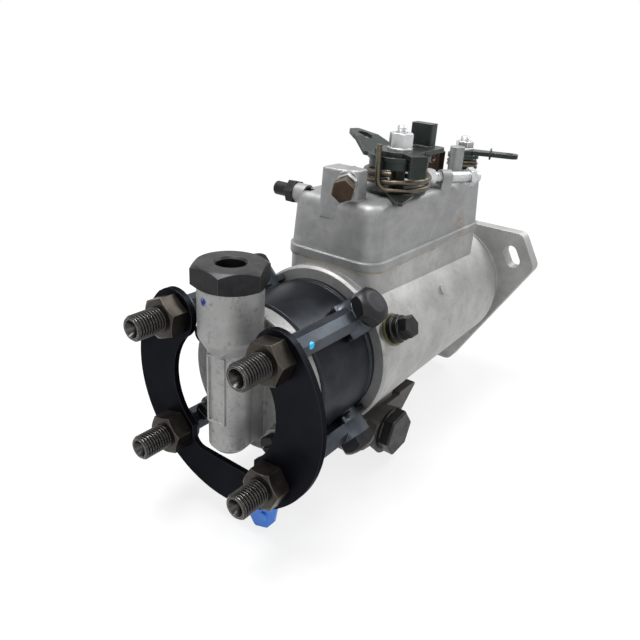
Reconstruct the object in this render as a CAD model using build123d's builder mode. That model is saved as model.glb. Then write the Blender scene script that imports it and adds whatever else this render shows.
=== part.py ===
from build123d import *
from math import cos, sin, tan, radians, degrees, atan2, sqrt
import os

os.makedirs("parts", exist_ok=True)

# Frame: millimetres, +Z up, the shaft lies along Y and +Y is the drive end.
# The origin is the centre of the flange face that bolts to the engine.

# Clearances
RUN = 0.04
SLIDE = 0.03
STATIC = 0.08
THREAD = 0.12
APART = 0.3

# Stations along the shaft, from the flange face
Y_OUTLET_END = -255.0
Y_NUT_FRONT = -240.5
Y_RING_FRONT = -231.5
Y_TOWER = -226.0
Y_PLATE_LUG = -219.0
Y_PLATE_FRONT = -213.0
Y_HEAD_FRONT = -205.0
Y_OUTLETS = -172.6
Y_HOUSING_FRONT = -163.0
Y_LOCK_SCREWS = -155.0
Y_METERING = -145.5
Y_HEAD_REAR = -139.0
Y_CAM = -131.7
Y_CAGE = -110.0
Y_WALL = -46.0
Y_NECK = -15.0

# Housing and flange
HOUSING_R_FRONT = 44.0
HOUSING_R_MID = 42.2
HOUSING_R_REAR = 40.4
NECK_R = 37.6
HEAD_BORE_R = 36.0
CAVITY_R = 34.5
BEARING_R = 16.5
FLANGE_T = 9.0
FLANGE_INRADIUS = 41.5
FLANGE_EAR_R = 62.5
SLOT_R = 50.8
SLOT_W = 8.8
SLOT_L = 15.0
PILOT_R = 23.0
PILOT_H = 6.0
SEAL_BORE_R = 19.5

# Governor cover
COVER_W = 57.0
COVER_L = 128.4
COVER_FRONT = -158.6
COVER_Y = COVER_FRONT + COVER_L / 2
COVER_CORNER = 11.0
RIM_Z = 46.2
RIM_T = 4.4
COVER_TOP_Z = 78.4
COVER_WALL = 4.0
DRAFT = 4.0
GASKET_T = 0.8

# Hydraulic head and outlets
HEAD_R = 37.5
SPIGOT_R = HEAD_BORE_R - STATIC
ROTOR_R = 9.5
OUTLET_PCR = HEAD_R + 6.34
OUTLET_SQUARE = OUTLET_PCR * sqrt(2)
UNION_R = 5.9
STEM_R = UNION_R - 0.5
UNION_NUT_AF = 18.0
UNION_NUT_T = 9.0
RING_T = 3.0
RING_R_OUT = OUTLET_PCR + 12.66
RING_R_IN = OUTLET_PCR - 11.84
ARM_AF = 11.5
BANJO_TOP = HEAD_R + 12.5

# Head fittings
LINER_R = 22.0
LINER_BORE_R = 13.8
PUMP_DEPTH = 11.0
SPOT_DEPTH = 1.2
BOLT_R = 4.8
BOLT_HEAD_R = 8.5
BOLT_HEAD_H = 7.6
EYE_R = 9.2
EYE_SEAT = HEAD_R - SPOT_DEPTH
METER_R = 4.0
PLATE_SCREW_R = HEAD_R - 7.5
COLLAR_R = 8.6
COLLAR_T = 3.6
LOCK_SEAT = 45.4
VALVE_PISTON_R = 3.5

# Inlet tower
TOWER_R_TOP = 14.5
TOWER_R_LOW = 10.0
TOWER_STEP_Z = 25.0
TOWER_TOP_Z = 52.8
TOWER_BOTTOM_Z = -29.0
INLET_AF = 30.0
INLET_TOP_Z = 62.6
INLET_BORE_R = 6.5
BORDER_W = 10.0
BORDER_L = 34.0
VALVE_R = 6.0

# Lever shafts on the cover
THROTTLE_X = 12.0
THROTTLE_Y = -116.0
SHUTOFF_X = 17.0
SHUTOFF_Y = -49.0
SHAFT_R = 4.0
SHUT_SHAFT_R = 3.5
THROTTLE_SPRING_R = 16.4
PILLAR_X = 19.0
PILLAR_Y = -62.5
SPEED_FROM = (18.5, -89.0)
SPEED_TO = (33.0, -66.5)
SPEED_Z = 83.3
WIRE_R = 1.4

# Cam and pumping parts
CAM_T = 14.0
CAM_R = CAVITY_R - RUN
VALLEY_R = 25.5
LOBE_R = 23.0
LOBE_NOSE_R = 12.0
ROLLER_R = 4.5
ROLLER_L = 11.0
PLUNGER_R = 3.5
PLUNGER_STROKE = 2.2
PUMP_HEAD_R = 15.5

PUMP_HEAD_HALF = 9.6
SHOE_IN = 9.5
SHOE_BACK = 10.4
SHOE_OUT = 17.4
SHOE_L = 12.0
SHOE_W = 10.0
ROLLER_X = 18.2
PLATE_T = 4.0
HUB_FRONT = -45.0
HUB_END = 3.0
SEAL_LIP_R = 14.0
SPLINE_R = 9.0
SPLINES = 18
CAGE_R = 32.4
PIVOT_R = 20.0
TOE_R = 12.3
WEIGHT_W = 12.0
WEIGHT_FOOT = -106.7
SLEEVE_Y = -103.2
SLEEVE_END = -79.6

# Advance unit
ADVANCE_Y = Y_CAM
ADVANCE_Z = -52.4
PISTON_R = 7.0
ADVANCE_BALL_R = 3.4
ADVANCE_SLOT = 12.5

ADVANCE_HALF = 25.0
ADVANCE_COIL = 15.0
ADVANCE_COIL_R = 4.3
PLUG_HOLE_R = 5.5
RIM_R = 15.0
PAD_Z = -44.6
PAD_CLEAR_R = 44.6
STUD_SEAT = 18.5
PLUG_AF = 23.0

# Transfer pump
TRANSFER_R = 12.0
BLADE_T = 2.6

# Screws and unions on the cover
LEVER_Z = 95.6
COIL_PITCH = 4.0
LEG_TURN = -62.0
SHUT_LEVER_Z = 92.2
SPRING_X = THROTTLE_X - 10.0
SPRING_ARM_Y = THROTTLE_Y + 11.0
SPRING_EYE = 4.2
SPRING_Z = 60.6
SPRING_PITCH = 2.2
SPRING_COIL_R = 2.4
SPRING_WIRE_R = 0.45
LEAK_SEAT = COVER_W / 2 - 1.7
LEAK_Y = -149.4
LEAK_Z = 75.6
SPEED_LENGTH = 26.8
SEAT_Z = 78.9
SEAT_T = 1.4
COIL_Z = SEAT_Z + SEAT_T + APART + WIRE_R
LEVER_T = 2.2
DRUM_T = 4.0
DRUM_R = 15.2
PLATE_TOP_T = 2.2
STOP_X = 6.5
BLOCK_TOP_Z = 93.0
IDLE_AT = (6.6, -153.5, 87.2)
IDLE_TURN = 25.0
IDLE_RISE = 0.12
IDLE_OUT = 9.0
IDLE_IN = 17.0

# Governor
WEIGHTS = 4
SHAFT_CORE_R = 8.5
PIVOT_Z = 33.0
PIVOT_Y = -78.0
ARM_T = 2.4
LEDGE_Z = 39.5
WINDOW_X = 17.0
ROD_X = 8.0
ROD_Z = 57.0
COVER_STUDS = ((-12.0, -94.0), (-12.0, -56.0))


def frame_at(angle, y, radius):
    """Plane across a radial direction, its normal pointing outwards."""
    a = radians(angle)
    return Plane(origin=(radius * cos(a), y, radius * sin(a)), x_dir=(0, 1, 0), z_dir=(cos(a), 0, sin(a)))


border_a = radians(4)
BORDER_PLANE = Plane(
    origin=(0, Y_TOWER, 5),
    x_dir=(cos(border_a), sin(border_a), 0),
    z_dir=(sin(border_a), -cos(border_a), 0),
)
idle_a = radians(IDLE_TURN)
idle_c = sqrt(1 - IDLE_RISE ** 2)
IDLE_PLANE = Plane(
    origin=IDLE_AT,
    x_dir=(cos(idle_a), sin(idle_a), 0),
    z_dir=(sin(idle_a) * idle_c, -cos(idle_a) * idle_c, -IDLE_RISE),
)
speed_a = atan2(SPEED_TO[1] - SPEED_FROM[1], SPEED_TO[0] - SPEED_FROM[0])
SPEED_PLANE = Plane(
    origin=(SPEED_FROM[0], SPEED_FROM[1], SPEED_Z),
    x_dir=(-sin(speed_a), cos(speed_a), 0),
    z_dir=(cos(speed_a), sin(speed_a), 0),
)

# Pump housing: one aluminium casting with the flange, the saddle and the pilot
y_body = [
    (0, Y_HOUSING_FRONT),
    (HOUSING_R_FRONT - 1.2, Y_HOUSING_FRONT),
    (HOUSING_R_FRONT, Y_HOUSING_FRONT + 1.2),
    (HOUSING_R_FRONT - 1.0, Y_HOUSING_FRONT + 14),
    (HOUSING_R_MID, Y_HOUSING_FRONT + 46),
    (HOUSING_R_MID - 0.9, Y_NECK - 55),
    (HOUSING_R_REAR, Y_NECK - 3.0),
    (HOUSING_R_REAR - 0.8, Y_NECK - 1.0),
    (NECK_R, Y_NECK),
    (NECK_R, -FLANGE_T / 2),
    (0, -FLANGE_T / 2),
]
with BuildSketch(Plane.XZ) as flange_outline:
    with BuildLine():
        ear = []
        for k in range(3):
            a = radians(30 + 120 * k)
            half = (2 * FLANGE_INRADIUS - FLANGE_EAR_R) * tan(radians(30))
            for side in (-1, 1):
                ear.append(
                    (
                        FLANGE_EAR_R * cos(a) - side * half * sin(a),
                        FLANGE_EAR_R * sin(a) + side * half * cos(a),
                    )
                )
        FilletPolyline(*ear, radius=6.0, close=True)
    make_face()

with BuildPart() as pump_housing:
    with BuildSketch(Plane.XY):
        with BuildLine():
            Polyline(*y_body, close=True)
        make_face()
    revolve(axis=Axis.Y)
    with BuildSketch(Plane.XZ):
        add(flange_outline.sketch)
    extrude(amount=FLANGE_T)
    with BuildSketch(Plane.XZ):
        Circle(PILOT_R)
    extrude(amount=-PILOT_H)
    # Saddle that carries the cover
    with BuildSketch(Plane.XY):
        with Locations((0, COVER_Y)):
            RectangleRounded(COVER_W - 2.0, COVER_L - 2.0, COVER_CORNER - 1.0)
    extrude(amount=RIM_Z - GASKET_T)
    # Pad for the advance unit
    with BuildSketch(Plane.XY.offset(PAD_Z)):
        with Locations((0, ADVANCE_Y)):
            RectangleRounded(44, 50, 5)
    extrude(amount=14)
    # Bosses for the head locking screws
    for angle in (27, 153):
        with BuildSketch(frame_at(angle, Y_LOCK_SCREWS, 38)):
            Circle(7.8)
        extrude(amount=7.4)
    # Small machined boss on the side
    with BuildSketch(frame_at(32.7, -91, 40)):
        Circle(2.8)
    extrude(amount=3.0)
    # Bores and cavity
    with BuildSketch(Plane.XZ.offset(-Y_HOUSING_FRONT + 1)):
        Circle(HEAD_BORE_R)
    extrude(amount=-(Y_HEAD_REAR - Y_HOUSING_FRONT + 1), mode=Mode.SUBTRACT)
    with BuildSketch(Plane.XZ.offset(-Y_HEAD_REAR)):
        Circle(CAVITY_R)
    extrude(amount=-(Y_CAM + CAM_T / 2 + APART - Y_HEAD_REAR), mode=Mode.SUBTRACT)
    with BuildSketch(Plane.XZ.offset(-Y_HEAD_REAR)):
        Circle(CAVITY_R - 0.7)
    extrude(amount=-(Y_WALL - Y_HEAD_REAR), mode=Mode.SUBTRACT)
    with BuildSketch(Plane.XZ.offset(-Y_WALL)):
        Circle(BEARING_R)
    extrude(amount=Y_WALL, mode=Mode.SUBTRACT)
    with BuildSketch(Plane.XZ.offset(14)):
        Circle(SEAL_BORE_R)
    extrude(amount=-(14 + PILOT_H), mode=Mode.SUBTRACT)
    # Window under the cover, with a ledge all round for the control bracket
    for bottom, width, corner in ((20.0, 2 * WINDOW_X, 6.0), (LEDGE_Z, 2 * WINDOW_X + 8, 8.0)):
        with BuildSketch(Plane.XY.offset(bottom)):
            with Locations((0, (Y_METERING - 7 + Y_WALL + 4) / 2)):
                RectangleRounded(width, (Y_WALL + 4) - (Y_METERING - 7), corner)
        extrude(amount=60, mode=Mode.SUBTRACT)
    # Slots in the ears
    with BuildSketch(Plane.XZ.offset(-1)):
        for k in range(3):
            a = 30 + 120 * k
            with Locations((SLOT_R * cos(radians(a)), SLOT_R * sin(radians(a)))):
                SlotOverall(SLOT_L, SLOT_W, rotation=a + 90)
    extrude(amount=FLANGE_T + 2, mode=Mode.SUBTRACT)
    # Holes for the head locking screws
    for angle in (27, 153):
        with BuildSketch(frame_at(angle, Y_LOCK_SCREWS, 34)):
            Circle(4.0)
        extrude(amount=14, mode=Mode.SUBTRACT)
    # Slot for the cam advance screw
    with BuildSketch(Plane.XY.offset(-46)):
        with Locations((0, ADVANCE_Y)):
            SlotOverall(ADVANCE_SLOT + 10, 10.5)
    extrude(amount=14, mode=Mode.SUBTRACT)
    # Ring groove for the drain and studs of the advance unit
    with BuildSketch(Plane.XY.offset(-46)):
        for side in (-1, 1):
            with Locations((0, ADVANCE_Y + side * 19)):
                Circle(3.2)
    extrude(amount=8, mode=Mode.SUBTRACT)
pump_housing.part.label = "pump_housing"
export_step(pump_housing.part, "parts/pump_housing.step")

# Cover gasket
with BuildPart() as cover_gasket:
    with BuildSketch(Plane.XY.offset(RIM_Z - GASKET_T)):
        with Locations((0, COVER_Y)):
            RectangleRounded(COVER_W - 0.8, COVER_L - 0.8, COVER_CORNER - 0.4)
            RectangleRounded(COVER_W - 13, COVER_L - 13, COVER_CORNER - 6, mode=Mode.SUBTRACT)
    extrude(amount=GASKET_T)
cover_gasket.part.label = "cover_gasket"
export_step(cover_gasket.part, "parts/cover_gasket.step")

# Governor cover: drafted walls over a base rim, hollow below
with BuildPart() as governor_cover:
    with BuildSketch(Plane.XY.offset(RIM_Z)):
        with Locations((0, COVER_Y)):
            RectangleRounded(COVER_W, COVER_L, COVER_CORNER)
    extrude(amount=RIM_T)
    with BuildSketch(Plane.XY.offset(RIM_Z + RIM_T)):
        with Locations((0, COVER_Y)):
            RectangleRounded(COVER_W - 2.4, COVER_L - 2.4, COVER_CORNER - 1.2)
    extrude(amount=COVER_TOP_Z - RIM_Z - RIM_T, taper=DRAFT)
    fillet(governor_cover.edges().group_by(Axis.Z)[-1], radius=5.0)
    # Raised block at the front for the idle stop screw
    with BuildSketch(Plane.XY.offset(BLOCK_TOP_Z)):
        with BuildLine():
            FilletPolyline(
                (IDLE_AT[0] - 14.0, IDLE_AT[1] - 2.6), (IDLE_AT[0] - 4.4, IDLE_AT[1] - 2.0),
                (IDLE_AT[0] + 4.4, IDLE_AT[1] + 2.2), (IDLE_AT[0] + 4.4, IDLE_AT[1] + 11.0),
                (IDLE_AT[0] - 14.0, IDLE_AT[1] + 11.0),
                radius=1.5,
                close=True,
            )
        make_face()
    extrude(amount=COVER_TOP_Z - 10 - BLOCK_TOP_Z, taper=-1.5)
    fillet(governor_cover.edges().group_by(Axis.Z)[-1], radius=1.2)
    # Machined boss round the idle stop screw
    with BuildSketch(IDLE_PLANE.offset(0.6)):
        Circle(5.4)
    extrude(amount=-6.0)
    # Bosses of the throttle shaft, the shut-off shaft, the pillar and the speed screw
    for x, y, r, top in (
        (THROTTLE_X, THROTTLE_Y, 9.0, SEAT_Z - APART),
        (SHUTOFF_X, SHUTOFF_Y, 7.0, 84.0),
        (PILLAR_X, PILLAR_Y, 4.1, 97.6),
    ):
        with BuildSketch(Plane.XY.offset(COVER_TOP_Z - 6)):
            with Locations((x, y)):
                Circle(r)
        extrude(amount=top - COVER_TOP_Z + 6)
    # Round boss of the maximum speed screw on a narrow foot
    with BuildSketch(SPEED_PLANE.offset(5.0)):
        Circle(4.2)
        with Locations((0, -5.0)):
            Rectangle(6.4, 10.0)
    extrude(amount=6.0)
    # Wall boss of the back-leak union
    with BuildSketch(Plane(origin=(-20, LEAK_Y, LEAK_Z), x_dir=(0, 1, 0), z_dir=(-1, 0, 0))):
        Circle(5.0)
    extrude(amount=LEAK_SEAT - 20)
    # Hollow inside
    with BuildSketch(Plane.XY.offset(RIM_Z)):
        with Locations((0, COVER_Y)):
            RectangleRounded(COVER_W - 2 * COVER_WALL - 4.5, COVER_L - 2 * COVER_WALL - 5, COVER_CORNER - 4)
    extrude(amount=COVER_TOP_Z - RIM_Z - COVER_WALL, taper=DRAFT, mode=Mode.SUBTRACT)
    # Shaft bores
    with BuildSketch(Plane.XY.offset(RIM_Z)):
        with Locations((THROTTLE_X, THROTTLE_Y)):
            Circle(SHAFT_R + RUN)
        with Locations((SHUTOFF_X, SHUTOFF_Y)):
            Circle(SHUT_SHAFT_R + RUN)
    extrude(amount=40, mode=Mode.SUBTRACT)
    # Hole for the idle stop screw through the front block
    with BuildSketch(IDLE_PLANE.offset(20)):
        Circle(3.0)
    extrude(amount=-44, mode=Mode.SUBTRACT)
    # Hole for the maximum speed screw
    with BuildSketch(SPEED_PLANE.offset(-1)):
        Circle(3.0)
    extrude(amount=30, mode=Mode.SUBTRACT)
    # Tapped hole of the back-leak union
    with BuildSketch(Plane(origin=(-LEAK_SEAT - 2.2, LEAK_Y, LEAK_Z), x_dir=(0, 1, 0), z_dir=(1, 0, 0))):
        Circle(3.6)
    extrude(amount=12, mode=Mode.SUBTRACT)
    # Holes of the two cover studs
    with BuildSketch(Plane.XY.offset(RIM_Z)):
        for x, y in COVER_STUDS:
            with Locations((x, y)):
                Circle(2.7)
    extrude(amount=40, mode=Mode.SUBTRACT)
governor_cover.part.label = "governor_cover"
export_step(governor_cover.part, "parts/governor_cover.step")

# Hydraulic head: steel cylinder with radial outlets and the rotor bore
with BuildPart() as hydraulic_head:
    with BuildSketch(Plane.XY):
        with BuildLine():
            Polyline(
                (ROTOR_R + RUN, Y_HEAD_FRONT),
                (HEAD_R - 1.0, Y_HEAD_FRONT),
                (HEAD_R, Y_HEAD_FRONT + 1.0),
                (HEAD_R, Y_HOUSING_FRONT - 5.0),
                (HEAD_R - 0.9, Y_HOUSING_FRONT - 4.4),
                (HEAD_R - 0.9, Y_HOUSING_FRONT - 2.8),
                (HEAD_R, Y_HOUSING_FRONT - 2.2),
                (HEAD_R, Y_HOUSING_FRONT),
                (SPIGOT_R, Y_HOUSING_FRONT),
                (SPIGOT_R, Y_HEAD_REAR - 0.8),
                (SPIGOT_R - 0.8, Y_HEAD_REAR),
                (ROTOR_R + RUN, Y_HEAD_REAR),
                close=True,
            )
        make_face()
    revolve(axis=Axis.Y)
    # Recess of the transfer pump
    with BuildSketch(Plane.XZ.offset(-Y_HEAD_FRONT)):
        Circle(LINER_R)
    extrude(amount=-PUMP_DEPTH, mode=Mode.SUBTRACT)
    for k in range(4):
        # Spot face, threaded outlet and drilling to the rotor
        with BuildSketch(frame_at(45 + 90 * k, Y_OUTLETS, HEAD_R - SPOT_DEPTH)):
            Circle(9.6)
        extrude(amount=4, mode=Mode.SUBTRACT)
        with BuildSketch(frame_at(45 + 90 * k, Y_OUTLETS, HEAD_R - 15)):
            Circle(BOLT_R + THREAD)
        extrude(amount=16, mode=Mode.SUBTRACT)
        with BuildSketch(frame_at(45 + 90 * k, Y_OUTLETS, ROTOR_R - 2)):
            Circle(1.2)
        extrude(amount=14, mode=Mode.SUBTRACT)
    # Holes that the locking screws reach into
    for angle in (27, 153):
        with BuildSketch(frame_at(angle, Y_LOCK_SCREWS, 31)):
            Circle(4.0)
        extrude(amount=8, mode=Mode.SUBTRACT)
    # Metering valve bore
    with BuildSketch(Plane.XY.offset(12)):
        with Locations((0, Y_METERING)):
            Circle(METER_R)
    extrude(amount=30, mode=Mode.SUBTRACT)
    # Tapped holes of the end plate screws
    with BuildSketch(Plane.XZ.offset(-Y_HEAD_FRONT)):
        with PolarLocations(PLATE_SCREW_R, 4, start_angle=45):
            Circle(2.6)
    extrude(amount=-11, mode=Mode.SUBTRACT)
hydraulic_head.part.label = "hydraulic_head"
export_step(hydraulic_head.part, "parts/hydraulic_head.step")

# End plate with the upright inlet tower cast on it
with BuildPart() as end_plate:
    with BuildSketch(Plane.XZ.offset(-Y_HEAD_FRONT)):
        Circle(HEAD_R - 1.3)
    extrude(amount=Y_HEAD_FRONT - Y_PLATE_FRONT)
    fillet(end_plate.edges().filter_by(GeomType.CIRCLE).sort_by(Axis.Y)[0], radius=1.2)
    with BuildSketch(Plane.XZ.offset(-Y_PLATE_FRONT - 2)):
        with PolarLocations(PLATE_SCREW_R, 4, start_angle=45):
            Circle(6.6)
    extrude(amount=2 + Y_PLATE_FRONT - Y_PLATE_LUG, taper=3)
    # Tower: two barrels, a conical step and a web to the plate
    with BuildSketch(Plane.YZ):
        with BuildLine():
            Polyline(
                (Y_TOWER, TOWER_BOTTOM_Z),
                (Y_TOWER + TOWER_R_LOW - 2.5, TOWER_BOTTOM_Z),
                (Y_TOWER + TOWER_R_LOW, TOWER_BOTTOM_Z + 3),
                (Y_TOWER + TOWER_R_LOW + 0.3, TOWER_STEP_Z - 2.4),
                (Y_TOWER + TOWER_R_TOP - 0.6, TOWER_STEP_Z + 3.4),
                (Y_TOWER + TOWER_R_TOP, TOWER_STEP_Z + 5.2),
                (Y_TOWER + TOWER_R_TOP, TOWER_TOP_Z),
                (Y_TOWER, TOWER_TOP_Z),
                close=True,
            )
        make_face()
    revolve(axis=Axis((0, Y_TOWER, 0), (0, 0, 1)))
    with BuildSketch(Plane.XY.offset(TOWER_BOTTOM_Z + 3)):
        with Locations((0, (Y_TOWER + Y_PLATE_FRONT) / 2 + 1)):
            Rectangle(2 * TOWER_R_LOW - 1.5, Y_PLATE_FRONT - Y_TOWER + 2)
    extrude(amount=TOWER_STEP_Z - TOWER_BOTTOM_Z + 8, taper=1)
    # Raised border on the front left of the lower barrel, left blank inside
    with BuildSketch(BORDER_PLANE):
        Rectangle(BORDER_W, BORDER_L)
        Rectangle(BORDER_W - 1.8, BORDER_L - 1.8, mode=Mode.SUBTRACT)
    extrude(amount=TOWER_R_LOW + 0.25)
    # Inlet bore, filter chamber and regulating valve bore
    for bottom, top, r in (
        (TOWER_TOP_Z - 24, TOWER_TOP_Z, 10.5),
        (-22.0, TOWER_TOP_Z, VALVE_R),
    ):
        with BuildSketch(Plane.XY.offset(bottom)):
            with Locations((0, Y_TOWER)):
                Circle(r)
        extrude(amount=top - bottom, mode=Mode.SUBTRACT)
    # Ports from the valve to the transfer pump
    with BuildSketch(Plane.XZ.offset(-Y_HEAD_FRONT - 1)):
        for z in (-12, 16):
            with Locations((0, z)):
                Circle(2.2)
    extrude(amount=1 + Y_HEAD_FRONT - Y_TOWER, mode=Mode.SUBTRACT)
    with BuildSketch(Plane.XZ.offset(-Y_HEAD_FRONT - 1)):
        with PolarLocations(PLATE_SCREW_R, 4, start_angle=45):
            Circle(2.6)
    extrude(amount=20, mode=Mode.SUBTRACT)
end_plate.part.label = "end_plate"
export_step(end_plate.part, "parts/end_plate.step")

# Screws of the end plate, slotted cheese heads
with BuildPart() as end_plate_screws:
    with BuildSketch(Plane.XZ.offset(-Y_PLATE_LUG)):
        with PolarLocations(PLATE_SCREW_R, 4, start_angle=45):
            Circle(4.6)
    extrude(amount=5.0)
    fillet(end_plate_screws.edges().filter_by(GeomType.CIRCLE).group_by(Axis.Y)[0], radius=0.8)
    with BuildSketch(Plane.XZ.offset(-Y_PLATE_LUG)):
        with PolarLocations(PLATE_SCREW_R, 4, start_angle=45):
            Circle(2.6 - THREAD)
    extrude(amount=-(Y_HEAD_FRONT - Y_PLATE_LUG + 9))
    with BuildSketch(Plane.XZ.offset(-Y_PLATE_LUG + 5.0)):
        for k in range(4):
            a = radians(45 + 90 * k)
            with Locations((PLATE_SCREW_R * cos(a), PLATE_SCREW_R * sin(a))):
                Rectangle(12, 1.3, rotation=20 + 65 * k)
    extrude(amount=-1.8, mode=Mode.SUBTRACT)
end_plate_screws.part.label = "end_plate_screws"
export_step(end_plate_screws.part, "parts/end_plate_screws.step")

# Black hexagonal inlet adaptor screwed into the tower
with BuildPart() as inlet_adaptor:
    with BuildSketch(Plane.XY.offset(TOWER_TOP_Z)):
        with Locations((0, Y_TOWER)):
            RegularPolygon(INLET_AF / 2, 6, major_radius=False, rotation=-3)
    extrude(amount=INLET_TOP_Z - TOWER_TOP_Z)
    with BuildSketch(Plane.YZ):
        with BuildLine():
            r_in = INLET_AF / 2 - 0.3
            r_out = INLET_AF / 2 / cos(radians(30)) + 1
            h = (r_out - r_in) * tan(radians(34))
            Polyline(
                (Y_TOWER + r_in, INLET_TOP_Z),
                (Y_TOWER + r_out, INLET_TOP_Z - h),
                (Y_TOWER + r_out, INLET_TOP_Z + 1),
                (Y_TOWER + r_in, INLET_TOP_Z + 1),
                close=True,
            )
        make_face()
        with BuildLine():
            Polyline(
                (Y_TOWER + r_in, TOWER_TOP_Z),
                (Y_TOWER + r_out, TOWER_TOP_Z + 0.7 * h),
                (Y_TOWER + r_out, TOWER_TOP_Z - 1),
                (Y_TOWER + r_in, TOWER_TOP_Z - 1),
                close=True,
            )
        make_face()
    revolve(axis=Axis((0, Y_TOWER, 0), (0, 0, 1)), mode=Mode.SUBTRACT)
    with BuildSketch(Plane.XY.offset(TOWER_TOP_Z)):
        with Locations((0, Y_TOWER)):
            Circle(10.5 - THREAD)
    extrude(amount=-9)
    with BuildSketch(Plane.XY.offset(INLET_TOP_Z)):
        with Locations((0, Y_TOWER)):
            Circle(INLET_BORE_R)
    extrude(amount=-15, mode=Mode.SUBTRACT)
    with BuildSketch(Plane.XY.offset(INLET_TOP_Z)):
        with Locations((0, Y_TOWER)):
            Circle(4.2)
    extrude(amount=-40, mode=Mode.SUBTRACT)
    chamfer(
        inlet_adaptor.edges().filter_by(GeomType.CIRCLE).group_by(Axis.Z)[-1].sort_by(SortBy.RADIUS)[0],
        length=0.9,
    )
inlet_adaptor.part.label = "inlet_adaptor"
export_step(inlet_adaptor.part, "parts/inlet_adaptor.step")

# Piston of the regulating valve, in the lower bore of the tower
with BuildPart() as valve_piston:
    with BuildSketch(Plane.XY.offset(-9)):
        with Locations((0, Y_TOWER)):
            Circle(VALVE_R - SLIDE)
    extrude(amount=9)
    with BuildSketch(Plane.XY):
        with Locations((0, Y_TOWER)):
            Circle(VALVE_R - SLIDE)
            Circle(3.8, mode=Mode.SUBTRACT)
    extrude(amount=5)
valve_piston.part.label = "valve_piston"
export_step(valve_piston.part, "parts/valve_piston.step")

# Outlet clamp ring plate, open at the top
with BuildPart() as outlet_clamp_ring:
    with BuildSketch(Plane.XZ.offset(-Y_RING_FRONT - RING_T)):
        Circle(RING_R_OUT)
        Circle(RING_R_IN, mode=Mode.SUBTRACT)
        with Locations((0, -RING_R_IN / 2 - 1.8)):
            RectangleRounded(40, RING_R_IN + 3.4, 6, mode=Mode.SUBTRACT)
        with BuildLine():
            Polyline(
                (0, 0),
                (OUTLET_SQUARE / 2 * 3, OUTLET_SQUARE / 2 * 3),
                (-OUTLET_SQUARE / 2 * 3, OUTLET_SQUARE / 2 * 3),
                close=True,
            )
        make_face(mode=Mode.SUBTRACT)
        for side in (-1, 1):
            with Locations((side * OUTLET_SQUARE / 2, OUTLET_SQUARE / 2)):
                Circle((RING_R_OUT - RING_R_IN) / 2)
        for k in range(4):
            a = radians(45 + 90 * k)
            with Locations((OUTLET_PCR * cos(a), OUTLET_PCR * sin(a))):
                Circle(UNION_R + 0.35, mode=Mode.SUBTRACT)
    extrude(amount=RING_T)
outlet_clamp_ring.part.label = "outlet_clamp_ring"
export_step(outlet_clamp_ring.part, "parts/outlet_clamp_ring.step")

# Outlet adaptors: banjo eye on the head, faceted arm, collar behind the ring, threaded union with a cone seat
with BuildPart() as outlet_adaptors:
    for k in range(4):
        angle = 45 + 90 * k
        a = radians(angle)
        ux, uz = cos(a), sin(a)
        across = Plane(origin=(OUTLET_PCR * ux, 0, OUTLET_PCR * uz), x_dir=(uz, 0, -ux), z_dir=(0, -1, 0))
        # Union from the collar to the open end
        with BuildSketch(across.offset(-Y_RING_FRONT - RING_T)):
            Circle(STEM_R)
        extrude(amount=Y_RING_FRONT + RING_T - Y_NUT_FRONT + 0.4)
        with BuildSketch(across.offset(-Y_NUT_FRONT + 0.4)):
            Circle(UNION_R)
        extrude(amount=Y_NUT_FRONT - 0.4 - Y_OUTLET_END)
        with BuildSketch(across.offset(-Y_RING_FRONT - RING_T - COLLAR_T)):
            Circle(COLLAR_R)
        extrude(amount=COLLAR_T)
        with BuildSketch(across.offset(-Y_OUTLETS - 4)):
            RegularPolygon(ARM_AF / 2, 8, major_radius=False, rotation=22.5)
        extrude(amount=-(Y_RING_FRONT + RING_T + COLLAR_T) + Y_OUTLETS + 4)
        # Banjo eye and its squared seat
        with BuildSketch(frame_at(angle, Y_OUTLETS, EYE_SEAT)):
            Circle(EYE_R)
        extrude(amount=BANJO_TOP - EYE_SEAT)
        with BuildSketch(frame_at(angle, Y_OUTLETS, EYE_SEAT + 1.8)):
            RectangleRounded(18.0, 18.0, 1.2)
        extrude(amount=3.4)
    chamfer(outlet_adaptors.edges().group_by(Axis.Y)[0], length=0.9)
    for k in range(4):
        angle = 45 + 90 * k
        a = radians(angle)
        x = OUTLET_PCR * cos(a)
        z = OUTLET_PCR * sin(a)
        across = Plane(origin=(x, 0, z), x_dir=(1, 0, 0), z_dir=(0, -1, 0))
        with BuildSketch(frame_at(angle, Y_OUTLETS, EYE_SEAT - 1)):
            Circle(BOLT_R + 0.35)
        extrude(amount=30, mode=Mode.SUBTRACT)
        # Cone seat and bore
        with BuildSketch(across.offset(-Y_OUTLET_END)):
            Circle(4.2)
        extrude(amount=-4.2, taper=30, mode=Mode.SUBTRACT)
        with BuildSketch(across.offset(-Y_OUTLET_END)):
            Circle(1.1)
        extrude(amount=-(Y_OUTLETS - Y_OUTLET_END), mode=Mode.SUBTRACT)
outlet_adaptors.part.label = "outlet_adaptors"
export_step(outlet_adaptors.part, "parts/outlet_adaptors.step")

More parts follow.
